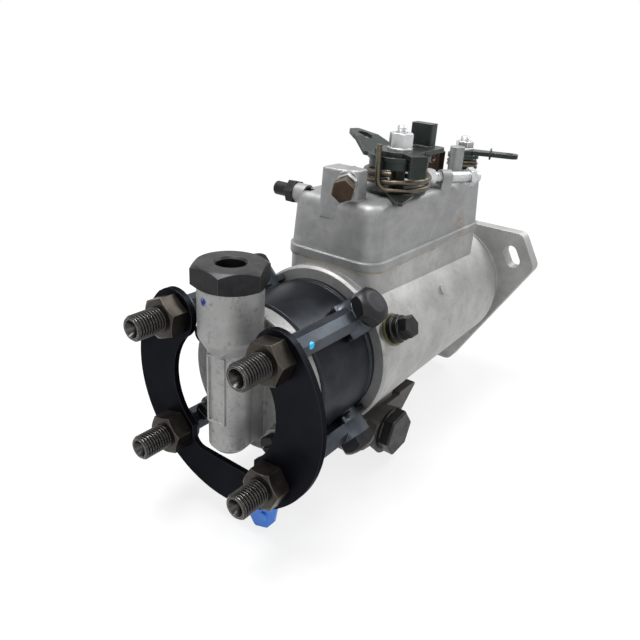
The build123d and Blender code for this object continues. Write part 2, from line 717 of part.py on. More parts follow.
# Nuts of the outlet unions
with BuildPart() as outlet_nuts:
    for k, turn in enumerate((8, 22, 14, 5)):
        a = radians(45 + 90 * k)
        centre = (OUTLET_PCR * cos(a), OUTLET_PCR * sin(a))
        with BuildSketch(Plane.XZ.offset(-Y_RING_FRONT)):
            with Locations(centre):
                RegularPolygon(UNION_NUT_AF / 2, 6, major_radius=False, rotation=turn)
                Circle(UNION_R + THREAD, mode=Mode.SUBTRACT)
        extrude(amount=UNION_NUT_T)
    # Chamfer of the corners on the open face
    for k in range(4):
        a = radians(45 + 90 * k)
        x = OUTLET_PCR * cos(a)
        z = OUTLET_PCR * sin(a)
        with BuildSketch(Plane(origin=(x, 0, z), x_dir=(1, 0, 0), z_dir=(0, 0, 1))):
            with BuildLine():
                r_in = UNION_NUT_AF / 2 - 0.4
                r_out = UNION_NUT_AF / 2 / cos(radians(30)) + 1
                h = (r_out - r_in) * tan(radians(30))
                Polyline(
                    (r_in, Y_NUT_FRONT),
                    (r_out, Y_NUT_FRONT + h),
                    (r_out, Y_NUT_FRONT - 1),
                    (r_in, Y_NUT_FRONT - 1),
                    close=True,
                )
            make_face()
        revolve(axis=Axis((x, 0, z), (0, 1, 0)), mode=Mode.SUBTRACT)
outlet_nuts.part.label = "outlet_nuts"
export_step(outlet_nuts.part, "parts/outlet_nuts.step")

# Banjo bolts with domed hexagon heads
with BuildPart() as banjo_bolts:
    for k in range(4):
        with BuildSketch(frame_at(45 + 90 * k, Y_OUTLETS, BANJO_TOP)):
            RegularPolygon(BOLT_HEAD_R, 6, major_radius=False, rotation=12)
        extrude(amount=BOLT_HEAD_H)
    # Dome that rounds off the corners
    for k in range(4):
        a = radians(45 + 90 * k)
        top = BANJO_TOP + BOLT_HEAD_H
        with BuildSketch(Plane(origin=(0, Y_OUTLETS, 0), x_dir=(0, 1, 0), z_dir=(-sin(a), 0, cos(a)))):
            with BuildLine():
                side_out = BOLT_HEAD_R / cos(radians(30)) + 0.4
                ThreePointArc((5.0, -top), (7.6, 1.0 - top), (side_out, 4.4 - top))
                Polyline((side_out, 4.4 - top), (side_out, -top - 1), (5.0, -top - 1), (5.0, -top))
            make_face()
        revolve(axis=Axis((0, Y_OUTLETS, 0), (cos(a), 0, sin(a))), mode=Mode.SUBTRACT)
    for k in range(4):
        with BuildSketch(frame_at(45 + 90 * k, Y_OUTLETS, HEAD_R - 12)):
            Circle(BOLT_R)
        extrude(amount=BANJO_TOP - HEAD_R + 12)
banjo_bolts.part.label = "banjo_bolts"
export_step(banjo_bolts.part, "parts/banjo_bolts.step")

# Head locking screws with sealing washers
with BuildPart() as head_lock_screws:
    for angle in (27, 153):
        with BuildSketch(frame_at(angle, Y_LOCK_SCREWS, LOCK_SEAT + 1.4)):
            Circle(7.2)
        extrude(amount=2.6)
        with BuildSketch(frame_at(angle, Y_LOCK_SCREWS, LOCK_SEAT + 4.0)):
            Circle(6.3)
        extrude(amount=3.0)
        with BuildSketch(frame_at(angle, Y_LOCK_SCREWS, LOCK_SEAT + 7.0)):
            RegularPolygon(5.1, 6, major_radius=False)
        extrude(amount=5.6)
        with BuildSketch(frame_at(angle, Y_LOCK_SCREWS, 32.0)):
            Circle(4.0 - THREAD)
        extrude(amount=LOCK_SEAT + 3 - 32.0)
    outer_edges = []
    for e in head_lock_screws.edges():
        if sqrt(e.center().X ** 2 + e.center().Z ** 2) > LOCK_SEAT + 12.5:
            outer_edges.append(e)
    chamfer(outer_edges, length=0.6)
head_lock_screws.part.label = "head_lock_screws"
export_step(head_lock_screws.part, "parts/head_lock_screws.step")

with BuildPart() as head_lock_washers:
    for angle in (27, 153):
        with BuildSketch(frame_at(angle, Y_LOCK_SCREWS, LOCK_SEAT)):
            Circle(8.2)
            Circle(4.3, mode=Mode.SUBTRACT)
        extrude(amount=1.4)
head_lock_washers.part.label = "head_lock_washers"
export_step(head_lock_washers.part, "parts/head_lock_washers.step")

# Cam ring with four inner lobes between the roller stations
with BuildPart() as cam_ring:
    with BuildSketch(Plane.XZ.offset(-Y_CAM - CAM_T / 2)):
        Circle(CAM_R)
        Circle(VALLEY_R, mode=Mode.SUBTRACT)
        with PolarLocations(LOBE_R + LOBE_NOSE_R, 4, start_angle=45):
            Circle(LOBE_NOSE_R)
        with BuildLine():
            CenterArc((0, 0), CAM_R, 0, 360)
        make_face(mode=Mode.INTERSECT)
    extrude(amount=CAM_T)
    with BuildSketch(Plane.XY.offset(-CAM_R - 1)):
        with Locations((0, Y_CAM)):
            Circle(ADVANCE_BALL_R - 0.6 + THREAD)
    extrude(amount=8, mode=Mode.SUBTRACT)
cam_ring.part.label = "cam_ring"
export_step(cam_ring.part, "parts/cam_ring.step")

# Distributor rotor: stem in the head, pumping head inside the cam ring
with BuildPart() as distributor_rotor:
    with BuildSketch(Plane.XY):
        with BuildLine():
            Polyline(
                (0, Y_HEAD_FRONT + 5.0),
                (3.0 - STATIC, Y_HEAD_FRONT + 5.0),
                (3.0 - STATIC, Y_HEAD_FRONT + PUMP_DEPTH),
                (ROTOR_R - 0.6, Y_HEAD_FRONT + PUMP_DEPTH),
                (ROTOR_R, Y_HEAD_FRONT + PUMP_DEPTH + 0.6),
                (ROTOR_R, Y_HEAD_REAR + APART),
                (PUMP_HEAD_R, Y_HEAD_REAR + APART),
                (PUMP_HEAD_R, Y_CAM + PUMP_HEAD_HALF),
                (0, Y_CAM + PUMP_HEAD_HALF),
                close=True,
            )
        make_face()
    revolve(axis=Axis.Y)
    # Slots of the roller shoes and the cross bore of the plungers
    for side in (-1, 1):
        with BuildSketch(Plane(origin=(side * SHOE_IN, Y_CAM, 0), x_dir=(0, 1, 0), z_dir=(side, 0, 0))):
            Rectangle(SHOE_L + 2 * APART, SHOE_W + 2 * SLIDE)
        extrude(amount=PUMP_HEAD_R, mode=Mode.SUBTRACT)
    with BuildSketch(Plane.YZ.offset(-PUMP_HEAD_R - 1)):
        with Locations((Y_CAM, 0)):
            Circle(PLUNGER_R)
    extrude(amount=2 * PUMP_HEAD_R + 2, mode=Mode.SUBTRACT)
    # Axial drilling and the distributing port
    with BuildSketch(Plane.XZ.offset(-Y_CAM)):
        Circle(1.2)
    extrude(amount=Y_CAM - Y_OUTLETS, mode=Mode.SUBTRACT)
    with BuildSketch(Plane.YZ):
        with Locations((Y_OUTLETS, 0)):
            Circle(1.2)
    extrude(amount=ROTOR_R + 1, mode=Mode.SUBTRACT)
distributor_rotor.part.label = "distributor_rotor"
export_step(distributor_rotor.part, "parts/distributor_rotor.step")

# Plungers, and the shoes with a roller lying in each, one set on each side
for side, word in ((1, "right"), (-1, "left")):
    outward = Plane(origin=(0, Y_CAM, 0), x_dir=(0, side, 0), z_dir=(side, 0, 0))
    with BuildPart() as plunger:
        with BuildSketch(outward.offset(0.6)):
            Circle(PLUNGER_R - SLIDE)
        extrude(amount=SHOE_BACK - 0.6)
        chamfer(plunger.edges().filter_by(GeomType.CIRCLE), length=0.3)
    plunger.part.label = "plunger_" + word
    export_step(plunger.part, "parts/plunger_" + word + ".step")

    with BuildPart() as roller_shoe:
        with BuildSketch(outward.offset(SHOE_BACK)):
            Rectangle(SHOE_L, SHOE_W)
        extrude(amount=SHOE_OUT - SHOE_BACK)
        with BuildSketch(Plane.XZ.offset(-Y_CAM - SHOE_L / 2 - 1)):
            with Locations((side * ROLLER_X, 0)):
                Circle(ROLLER_R + SLIDE)
        extrude(amount=SHOE_L + 2, mode=Mode.SUBTRACT)
        with BuildSketch(Plane.XZ.offset(-Y_CAM - ROLLER_L / 2)):
            with Locations((side * ROLLER_X, 0)):
                Circle(ROLLER_R)
        extrude(amount=ROLLER_L)
    roller_shoe.part.label = "roller_shoe_" + word
    export_step(roller_shoe.part, "parts/roller_shoe_" + word + ".step")

# Drive plate behind the pumping head
with BuildPart() as drive_plate:
    with BuildSketch(Plane.XZ.offset(-Y_CAM - PUMP_HEAD_HALF)):
        Circle(20.0)
        Circle(SHAFT_CORE_R + STATIC, mode=Mode.SUBTRACT)
    extrude(amount=-PLATE_T)
drive_plate.part.label = "drive_plate"
export_step(drive_plate.part, "parts/drive_plate.step")

# Drive shaft and the splined hub that the engine drives
Y_PLATE_BACK = Y_CAM + PUMP_HEAD_HALF + PLATE_T
with BuildPart() as drive_shaft:
    with BuildSketch(Plane.XY):
        with BuildLine():
            Polyline(
                (0, Y_PLATE_BACK - PLATE_T),
                (SHAFT_CORE_R - 0.8, Y_PLATE_BACK - PLATE_T),
                (SHAFT_CORE_R, Y_PLATE_BACK - PLATE_T + 0.8),
                (SHAFT_CORE_R, HUB_FRONT + 13),
                (SHAFT_CORE_R - 1.0, HUB_FRONT + 14),
                (0, HUB_FRONT + 14),
                close=True,
            )
        make_face()
    revolve(axis=Axis.Y)
drive_shaft.part.label = "drive_shaft"
export_step(drive_shaft.part, "parts/drive_shaft.step")

with BuildPart() as drive_hub:
    with BuildSketch(Plane.XY):
        with BuildLine():
            Polyline(
                (0, HUB_FRONT),
                (BEARING_R - RUN - 0.8, HUB_FRONT),
                (BEARING_R - RUN, HUB_FRONT + 0.8),
                (BEARING_R - RUN, -15.0),
                (SEAL_LIP_R, -15.0),
                (SEAL_LIP_R, HUB_END - 1),
                (SEAL_LIP_R - 1, HUB_END),
                (0, HUB_END),
                close=True,
            )
        make_face()
    revolve(axis=Axis.Y)
    with BuildSketch(Plane.XZ.offset(-HUB_FRONT)):
        Circle(SHAFT_CORE_R + STATIC)
    extrude(amount=-14.5, mode=Mode.SUBTRACT)
    # Internal splines with one missing tooth as the master spline
    with BuildSketch(Plane.XZ.offset(-HUB_END)):
        Circle(SPLINE_R + 1.3)
        for k in range(1, SPLINES):
            a = 360 / SPLINES * k
            with Locations(((SPLINE_R + 1.0) * cos(radians(a)), (SPLINE_R + 1.0) * sin(radians(a)))):
                Rectangle(2.2, 2.1, rotation=a, mode=Mode.SUBTRACT)
    extrude(amount=24, mode=Mode.SUBTRACT)
    with BuildSketch(Plane.XZ.offset(-HUB_END)):
        Circle(SPLINE_R + 1.5)
    extrude(amount=2.0, mode=Mode.SUBTRACT)
drive_hub.part.label = "drive_hub"
export_step(drive_hub.part, "parts/drive_hub.step")

with BuildPart() as drive_seal:
    with BuildSketch(Plane.XY):
        with BuildLine():
            Polyline(
                (SEAL_BORE_R - STATIC, -6.0),
                (SEAL_BORE_R - STATIC, 1.9),
                (SEAL_LIP_R + 0.9, 1.9),
                (SEAL_LIP_R + 0.9, 1.0),
                (SEAL_LIP_R + 3.0, 0.6),
                (SEAL_LIP_R + 2.4, -2.6),
                (SEAL_LIP_R + 0.15, -3.6),
                (SEAL_LIP_R + 1.0, -5.0),
                (SEAL_LIP_R + 3.0, -6.0),
                close=True,
            )
        make_face()
    revolve(axis=Axis.Y)
drive_seal.part.label = "drive_seal"
export_step(drive_seal.part, "parts/drive_seal.step")

# Governor cage, weights and thrust sleeve
with BuildPart() as governor_cage:
    with BuildSketch(Plane.XZ.offset(-Y_PLATE_BACK)):
        Circle(13.0)
    extrude(amount=-(Y_CAGE + 1 - Y_PLATE_BACK))
    with BuildSketch(Plane.XZ.offset(-Y_CAGE)):
        Circle(CAGE_R)
    extrude(amount=-3)
    with BuildSketch(Plane.XZ.offset(-Y_CAGE - 0)):
        Circle(CAGE_R)
        Circle(CAGE_R - 1.2, mode=Mode.SUBTRACT)
    extrude(amount=-19)
    # Windows in the wall and guide posts between the weights
    for k in range(WEIGHTS):
        angle = 45 + 360 / WEIGHTS * k
        with BuildSketch(frame_at(angle, Y_CAGE + 12, CAGE_R - 3)):
            RectangleRounded(9, 16, 2)
        extrude(amount=6, mode=Mode.SUBTRACT)
        post = angle + 180 / WEIGHTS
        with BuildSketch(frame_at(post, Y_CAGE + 11, 24)):
            Rectangle(16, 5)
        extrude(amount=CAGE_R - 24.6)
    with BuildSketch(Plane.XZ.offset(-Y_CAGE - 22)):
        Circle(SHAFT_CORE_R + STATIC)
    extrude(amount=40, mode=Mode.SUBTRACT)
governor_cage.part.label = "governor_cage"
export_step(governor_cage.part, "parts/governor_cage.step")

for k in range(WEIGHTS):
    angle = 45 + 360 / WEIGHTS * k
    a = radians(angle)
    edge_on = Plane(origin=(0, 0, 0), x_dir=(cos(a), 0, sin(a)), z_dir=(-sin(a), 0, cos(a)))
    with BuildPart() as governor_weight:
        with BuildSketch(edge_on.offset(-WEIGHT_W / 2)):
            flip = edge_on.y_dir.Y
            with BuildLine():
                profile = [
                    (PIVOT_R, WEIGHT_FOOT),
                    (PIVOT_R + 7.5, WEIGHT_FOOT + 2.1),
                    (PIVOT_R + 7.5, WEIGHT_FOOT + 16.7),
                    (PIVOT_R - 1.0, WEIGHT_FOOT + 16.7),
                    (PIVOT_R - 3.0, WEIGHT_FOOT + 11.0),
                    (PIVOT_R - 3.0, WEIGHT_FOOT + 3.1),
                    (TOE_R, WEIGHT_FOOT + 3.1),
                    (TOE_R, WEIGHT_FOOT),
                ]
                FilletPolyline(*[(x, flip * y) for x, y in profile], radius=0.7, close=True)
            make_face()
        extrude(amount=WEIGHT_W)
    governor_weight.part.label = "governor_weight_" + str(k + 1)
    export_step(governor_weight.part, "parts/governor_weight_" + str(k + 1) + ".step")

with BuildPart() as thrust_sleeve:
    with BuildSketch(Plane.XY):
        with BuildLine():
            Polyline(
                (SHAFT_CORE_R + RUN, SLEEVE_Y),
                (14.5, SLEEVE_Y),
                (14.5, SLEEVE_Y + 1.8),
                (11.0, SLEEVE_Y + 1.8),
                (11.0, SLEEVE_END - 2.0),
                (15.0, SLEEVE_END - 2.0),
                (15.0, SLEEVE_END),
                (SHAFT_CORE_R + RUN, SLEEVE_END),
                close=True,
            )
        make_face()
    revolve(axis=Axis.Y)
thrust_sleeve.part.label = "thrust_sleeve"
export_step(thrust_sleeve.part, "parts/thrust_sleeve.step")

# Control bracket in the window, with the pivot of the governor arm
with BuildPart() as control_bracket:
    with BuildSketch(Plane.XY.offset(LEDGE_Z)):
        with Locations((0, -72)):
            RectangleRounded(2 * WINDOW_X + 7.4, 52, 3)
        with Locations((1, PIVOT_Y)):
            RectangleRounded(25, 22, 3, mode=Mode.SUBTRACT)
    extrude(amount=2.4)
    for side in (-1, 1):
        with BuildSketch(Plane.YZ.offset(side * 14.6 - 1)):
            with BuildLine():
                Polyline(
                    (PIVOT_Y - 7, LEDGE_Z + 1),
                    (PIVOT_Y - 4, PIVOT_Z - 3.5),
                    (PIVOT_Y + 4, PIVOT_Z - 3.5),
                    (PIVOT_Y + 7, LEDGE_Z + 1),
                    close=True,
                )
            make_face()
        extrude(amount=2)
    with BuildSketch(Plane.YZ.offset(-17)):
        with Locations((PIVOT_Y, PIVOT_Z)):
            Circle(1.6 + RUN)
    extrude(amount=34, mode=Mode.SUBTRACT)
    with BuildSketch(Plane.XY.offset(LEDGE_Z - 1)):
        for x, y in COVER_STUDS:
            with Locations((x, y)):
                Circle(2.5 + THREAD)
    extrude(amount=5, mode=Mode.SUBTRACT)
control_bracket.part.label = "control_bracket"
export_step(control_bracket.part, "parts/control_bracket.step")

# Governor arm: fork below the pivot, tall blade above it, on a cross pin
with BuildPart() as governor_arm:
    with BuildSketch(Plane.XZ.offset(-PIVOT_Y - ARM_T / 2)):
        with BuildLine():
            Polyline(
                (-15.4, -7), (-10.6, -7), (-10.6, 12), (-6, 18), (6, 18), (10.6, 12),
                (10.6, -7), (15.4, -7), (15.4, 14), (12.4, 22), (12.4, 36), (11.5, 50),
                (11.5, 62), (-6, 62), (-8, 50), (-12.4, 36), (-12.4, 22), (-15.4, 14), close=True,
            )
        make_face()
        with Locations((ROD_X, ROD_Z)):
            Circle(1.5, mode=Mode.SUBTRACT)
        with Locations((-1, 46)):
            RectangleRounded(7, 12, 2, mode=Mode.SUBTRACT)
        with Locations((2, 59)):
            Circle(0.9, mode=Mode.SUBTRACT)
    extrude(amount=ARM_T)
    with BuildSketch(Plane.YZ.offset(-16)):
        with Locations((PIVOT_Y, PIVOT_Z)):
            Circle(1.6)
    extrude(amount=32)
governor_arm.part.label = "governor_arm"
export_step(governor_arm.part, "parts/governor_arm.step")

# Metering valve with its lever, and the hook rod to the governor arm
with BuildPart() as metering_valve:
    with BuildSketch(Plane.XY.offset(13)):
        with Locations((0, Y_METERING)):
            Circle(METER_R - SLIDE)
    extrude(amount=26)
    with BuildSketch(Plane.XY.offset(39)):
        with Locations((0, Y_METERING)):
            Circle(2.6)
    extrude(amount=ROD_Z - 3.6 - 39)
    with BuildSketch(Plane.XY.offset(ROD_Z - 3.6)):
        with Locations((ROD_X / 2, Y_METERING)):
            SlotOverall(ROD_X + 7, 6.4)
    extrude(amount=1.8)
    with BuildSketch(Plane.XY.offset(ROD_Z - 3.6)):
        with Locations((ROD_X, Y_METERING)):
            Circle(1.1)
    extrude(amount=6.4)
    with BuildSketch(Plane.XY.offset(12)):
        with Locations((2.6, Y_METERING)):
            Rectangle(2.4, 3)
    extrude(amount=10, mode=Mode.SUBTRACT)
metering_valve.part.label = "metering_valve"
export_step(metering_valve.part, "parts/metering_valve.step")

with BuildPart() as linkage_rod:
    with BuildSketch(Plane.XZ.offset(-Y_METERING)):
        with Locations((ROD_X, ROD_Z)):
            Circle(1.0)
    extrude(amount=-(PIVOT_Y + 5 - Y_METERING))
    with BuildSketch(Plane.XY.offset(ROD_Z - 1.0)):
        with Locations((ROD_X, Y_METERING)):
            Circle(2.8)
            SlotOverall(4.0, 2.8, rotation=0, mode=Mode.SUBTRACT)
    extrude(amount=2.0)
    with BuildSketch(Plane.XZ.offset(-PIVOT_Y - ARM_T / 2 - APART)):
        with Locations((ROD_X, ROD_Z)):
            Circle(2.3)
    extrude(amount=-1.6)
    with BuildSketch(Plane.XY.offset(ROD_Z - 2.0)):
        with Locations((ROD_X, Y_METERING)):
            SlotOverall(4.0, 2.8, rotation=0)
    extrude(amount=4.0, mode=Mode.SUBTRACT)
linkage_rod.part.label = "linkage_rod"
export_step(linkage_rod.part, "parts/linkage_rod.step")

# Throttle shaft with its inner arm and the stud for the nut
with BuildPart() as throttle_shaft:
    with BuildSketch(Plane.XY.offset(59.6)):
        with Locations((THROTTLE_X, THROTTLE_Y)):
            Circle(SHAFT_R)
    extrude(amount=LEVER_Z + 4.4 - 59.6)
    with BuildSketch(Plane.XY.offset(59.6)):
        with Locations((THROTTLE_X, THROTTLE_Y)):
            Circle(SHAFT_R + 2)
        with Locations((THROTTLE_X - 5, THROTTLE_Y + 6)):
            SlotOverall(22, 7, rotation=130)
    extrude(amount=2.6)
    with BuildSketch(Plane.XY.offset(59.6)):
        with Locations((SPRING_X, SPRING_ARM_Y)):
            Circle(1.0)
    extrude(amount=6)
    with BuildSketch(Plane.XY.offset(LEVER_Z + 4.4)):
        with Locations((THROTTLE_X, THROTTLE_Y)):
            Circle(3.0)
    extrude(amount=8.8)
    with BuildSketch(Plane.XY.offset(LEVER_Z + 4.4)):
        with Locations((THROTTLE_X, THROTTLE_Y)):
            Circle(2.3)
    extrude(amount=11.8)
    chamfer(throttle_shaft.edges().group_by(Axis.Z)[-1], length=0.6)
throttle_shaft.part.label = "throttle_shaft"
export_step(throttle_shaft.part, "parts/throttle_shaft.step")

# Black plate under the throttle spring, its tail points over the cover's edge
tail_a = atan2(-28.0, 19.0)
with BuildPart() as spring_seat_plate:
    with BuildSketch(Plane.XY.offset(SEAT_Z)):
        with Locations((THROTTLE_X, THROTTLE_Y)):
            Circle(15.6)
        with BuildLine():
            FilletPolyline(
                (THROTTLE_X + 15.0 * cos(tail_a + 0.62), THROTTLE_Y + 15.0 * sin(tail_a + 0.62)),
                (THROTTLE_X + 35.0 * cos(tail_a + 0.03), THROTTLE_Y + 35.0 * sin(tail_a + 0.03)),
                (THROTTLE_X + 35.0 * cos(tail_a - 0.03), THROTTLE_Y + 35.0 * sin(tail_a - 0.03)),
                (THROTTLE_X + 15.0 * cos(tail_a - 0.42), THROTTLE_Y + 15.0 * sin(tail_a - 0.42)),
                (THROTTLE_X, THROTTLE_Y),
                radius=0.6,
                close=True,
            )
        make_face()
        with Locations((THROTTLE_X, THROTTLE_Y)):
            Circle(SHAFT_R + APART, mode=Mode.SUBTRACT)
    extrude(amount=SEAT_T)
spring_seat_plate.part.label = "spring_seat_plate"
export_step(spring_seat_plate.part, "parts/spring_seat_plate.step")

# Throttle return spring: open coil with a leg that bends up outside the lever
coil_turns = (LEVER_Z - DRUM_T - APART - WIRE_R - COIL_Z) / COIL_PITCH
with BuildPart() as throttle_spring:
    with BuildLine() as coil:
        add(
            Edge.make_helix(
                COIL_PITCH,
                COIL_PITCH * coil_turns,
                THROTTLE_SPRING_R,
                center=(THROTTLE_X, THROTTLE_Y, COIL_Z),
            ).rotate(Axis((THROTTLE_X, THROTTLE_Y, 0), (0, 0, 1)), LEG_TURN)
        )
    with BuildSketch(Plane(origin=coil.line @ 0, z_dir=coil.line % 0)):
        Circle(WIRE_R)
    sweep(path=coil.line, is_frenet=True)
    start = coil.line @ 0
    bend = start - (coil.line % 0) * 9.0
    with BuildLine() as leg:
        FilletPolyline(start, bend, bend + Vector(-1.0, 0.4, LEVER_Z + 8.4 - bend.Z), radius=6.0)
    with BuildSketch(Plane(origin=leg.line @ 0, z_dir=leg.line % 0)):
        Circle(WIRE_R)
    sweep(path=leg.line)
throttle_spring.part.label = "throttle_spring"
export_step(throttle_spring.part, "parts/throttle_spring.step")

# Throttle lever: disc over the spring and a cranked arm with an oval hole
lever_a = atan2(10.0, -38.0)
lever_side = Plane(
    origin=(THROTTLE_X, THROTTLE_Y, 0),
    x_dir=(cos(lever_a), sin(lever_a), 0),
    z_dir=(sin(lever_a), -cos(lever_a), 0),
)
with BuildPart() as throttle_lever:
    with BuildSketch(lever_side.offset(-12)):
        with BuildLine():
            FilletPolyline(
                (6, LEVER_Z), (14.5, LEVER_Z), (26, LEVER_Z + 5.6), (39, LEVER_Z + 8.0),
                (39, LEVER_Z + 8.0 + LEVER_T), (25, LEVER_Z + 7.8),
                (13.6, LEVER_Z + LEVER_T), (6, LEVER_Z + LEVER_T),
                radius=0.9,
                close=True,
            )
        make_face()
    extrude(amount=24)
    with BuildSketch(Plane.XY.offset(LEVER_Z - 2)):
        with BuildLine():
            outline = []
            for along, wide in (
                (4, 13), (14, 12), (29, 7), (36.8, 3.5),
                (36.8, -3.5), (29, -6), (14, -12), (4, -13),
            ):
                outline.append(
                    (
                        THROTTLE_X + along * cos(lever_a) - wide * sin(lever_a),
                        THROTTLE_Y + along * sin(lever_a) + wide * cos(lever_a),
                    )
                )
            FilletPolyline(*outline, radius=2.6, close=True)
        make_face()
        with Locations((THROTTLE_X + 27 * cos(lever_a), THROTTLE_Y + 27 * sin(lever_a))):
            SlotOverall(9.5, 5.6, rotation=degrees(lever_a), mode=Mode.SUBTRACT)
    extrude(amount=16, mode=Mode.INTERSECT)
    with BuildSketch(Plane.XY.offset(LEVER_Z)):
        with Locations((THROTTLE_X, THROTTLE_Y)):
            Circle(16.2)
    extrude(amount=LEVER_T)
    with BuildSketch(Plane.XY.offset(LEVER_Z)):
        with Locations((THROTTLE_X, THROTTLE_Y)):
            Circle(DRUM_R)
    extrude(amount=-DRUM_T)
    with BuildSketch(Plane.XY.offset(LEVER_Z - DRUM_T - 1)):
        with Locations((THROTTLE_X, THROTTLE_Y)):
            Circle(SHAFT_R + STATIC)
    extrude(amount=12, mode=Mode.SUBTRACT)
throttle_lever.part.label = "throttle_lever"
export_step(throttle_lever.part, "parts/throttle_lever.step")

# Stop plate on top of the lever: arc slot, upright lug and a tab bent down in front
tab_a = radians(-33)
with BuildPart() as throttle_stop_plate:
    with BuildSketch(Plane.XY.offset(LEVER_Z + LEVER_T)):
        with Locations((THROTTLE_X, THROTTLE_Y)):
            Circle(12.6)
        with Locations((THROTTLE_X + 2.0, THROTTLE_Y + 15.5)):
            RectangleRounded(20, 27, 4)
        with Locations((THROTTLE_X + 10.75 * cos(tab_a), THROTTLE_Y + 10.75 * sin(tab_a))):
            Rectangle(21.5, 9.0, rotation=degrees(tab_a))
        with Locations((THROTTLE_X, THROTTLE_Y)):
            Circle(SHAFT_R + STATIC, mode=Mode.SUBTRACT)
        with Locations((THROTTLE_X + 1.0, THROTTLE_Y + 17.5)):
            SlotOverall(12, 4, rotation=6, mode=Mode.SUBTRACT)
    extrude(amount=PLATE_TOP_T)
    with BuildSketch(Plane.XY.offset(LEVER_Z + LEVER_T)):
        with Locations((THROTTLE_X - 1.0, THROTTLE_Y + 25.5)):
            RectangleRounded(12.5, 7.0, 1.0)
    extrude(amount=13.6)
    with BuildSketch(Plane.XY.offset(LEVER_Z + LEVER_T + PLATE_TOP_T)):
        with Locations((THROTTLE_X + 20.5 * cos(tab_a), THROTTLE_Y + 20.5 * sin(tab_a))):
            Rectangle(2.0, 9.0, rotation=degrees(tab_a))
    extrude(amount=-11.0)
throttle_stop_plate.part.label = "throttle_stop_plate"
export_step(throttle_stop_plate.part, "parts/throttle_stop_plate.step")

# Nuts of the two lever shafts
for x, y, z, af, tall, bore, label in (
    (THROTTLE_X, THROTTLE_Y, LEVER_Z + 4.4, 11.0, 8.4, 3.0, "throttle_nut"),
    (SHUTOFF_X, SHUTOFF_Y, SHUT_LEVER_Z + 2.4, 9.0, 4.8, 2.6, "shutoff_nut"),
):
    with BuildPart() as lever_nut:
        with BuildSketch(Plane.XY.offset(z)):
            with Locations((x, y)):
                Circle(af / 2 + 1.0)
        extrude(amount=1.0)
        with BuildSketch(Plane.XY.offset(z + 1.0)):
            with Locations((x, y)):
                RegularPolygon(af / 2, 6, major_radius=False, rotation=12)
        extrude(amount=tall - 1.0)
        with BuildSketch(Plane.XY.offset(z)):
            with Locations((x, y)):
                Circle(bore + THREAD)
        extrude(amount=tall, mode=Mode.SUBTRACT)
        with BuildSketch(Plane(origin=(x, y, 0), x_dir=(1, 0, 0), z_dir=(0, -1, 0))):
            with BuildLine():
                Polyline(
                    (af / 2 - 0.2, z + tall), (af / 2 + 1.2, z + tall - 0.8),
                    (af / 2 + 1.2, z + tall + 1), (af / 2 - 0.2, z + tall + 1),
                    close=True,
                )
            make_face()
        revolve(axis=Axis((x, y, 0), (0, 0, 1)), mode=Mode.SUBTRACT)
    lever_nut.part.label = label
    export_step(lever_nut.part, "parts/" + label + ".step")

# Shut-off shaft, spring and lever
with BuildPart() as shutoff_shaft:
    with BuildSketch(Plane.XY.offset(60)):
        with Locations((SHUTOFF_X, SHUTOFF_Y)):
            Circle(SHUT_SHAFT_R)
    extrude(amount=SHUT_LEVER_Z + 2.4 - 60)
    with BuildSketch(Plane.XY.offset(60)):
        with Locations((SHUTOFF_X, SHUTOFF_Y)):
            Circle(SHUT_SHAFT_R + 0.6)
        with Locations((SHUTOFF_X - 5, SHUTOFF_Y - 4)):
            SlotOverall(16, 5, rotation=40)
    extrude(amount=2.4)
    with BuildSketch(Plane.XY.offset(60)):
        with Locations((SHUTOFF_X - 9.5, SHUTOFF_Y - 8.0)):
            Circle(1.3)
    extrude(amount=-14)
    with BuildSketch(Plane.XY.offset(SHUT_LEVER_Z + 2.4)):
        with Locations((SHUTOFF_X, SHUTOFF_Y)):
            Circle(2.6)
    extrude(amount=7.4)
    chamfer(shutoff_shaft.edges().group_by(Axis.Z)[-1], length=0.5)
shutoff_shaft.part.label = "shutoff_shaft"
export_step(shutoff_shaft.part, "parts/shutoff_shaft.step")

with BuildPart() as shutoff_spring:
    with BuildLine() as shut_coil:
        Helix(pitch=2.0, height=4.0, radius=8.2, center=(SHUTOFF_X, SHUTOFF_Y, 84.8))
    with BuildSketch(Plane(origin=shut_coil.line @ 0, z_dir=shut_coil.line % 0)):
        Circle(0.9)
    sweep(path=shut_coil.line, is_frenet=True)
shutoff_spring.part.label = "shutoff_spring"
export_step(shutoff_spring.part, "parts/shutoff_spring.step")

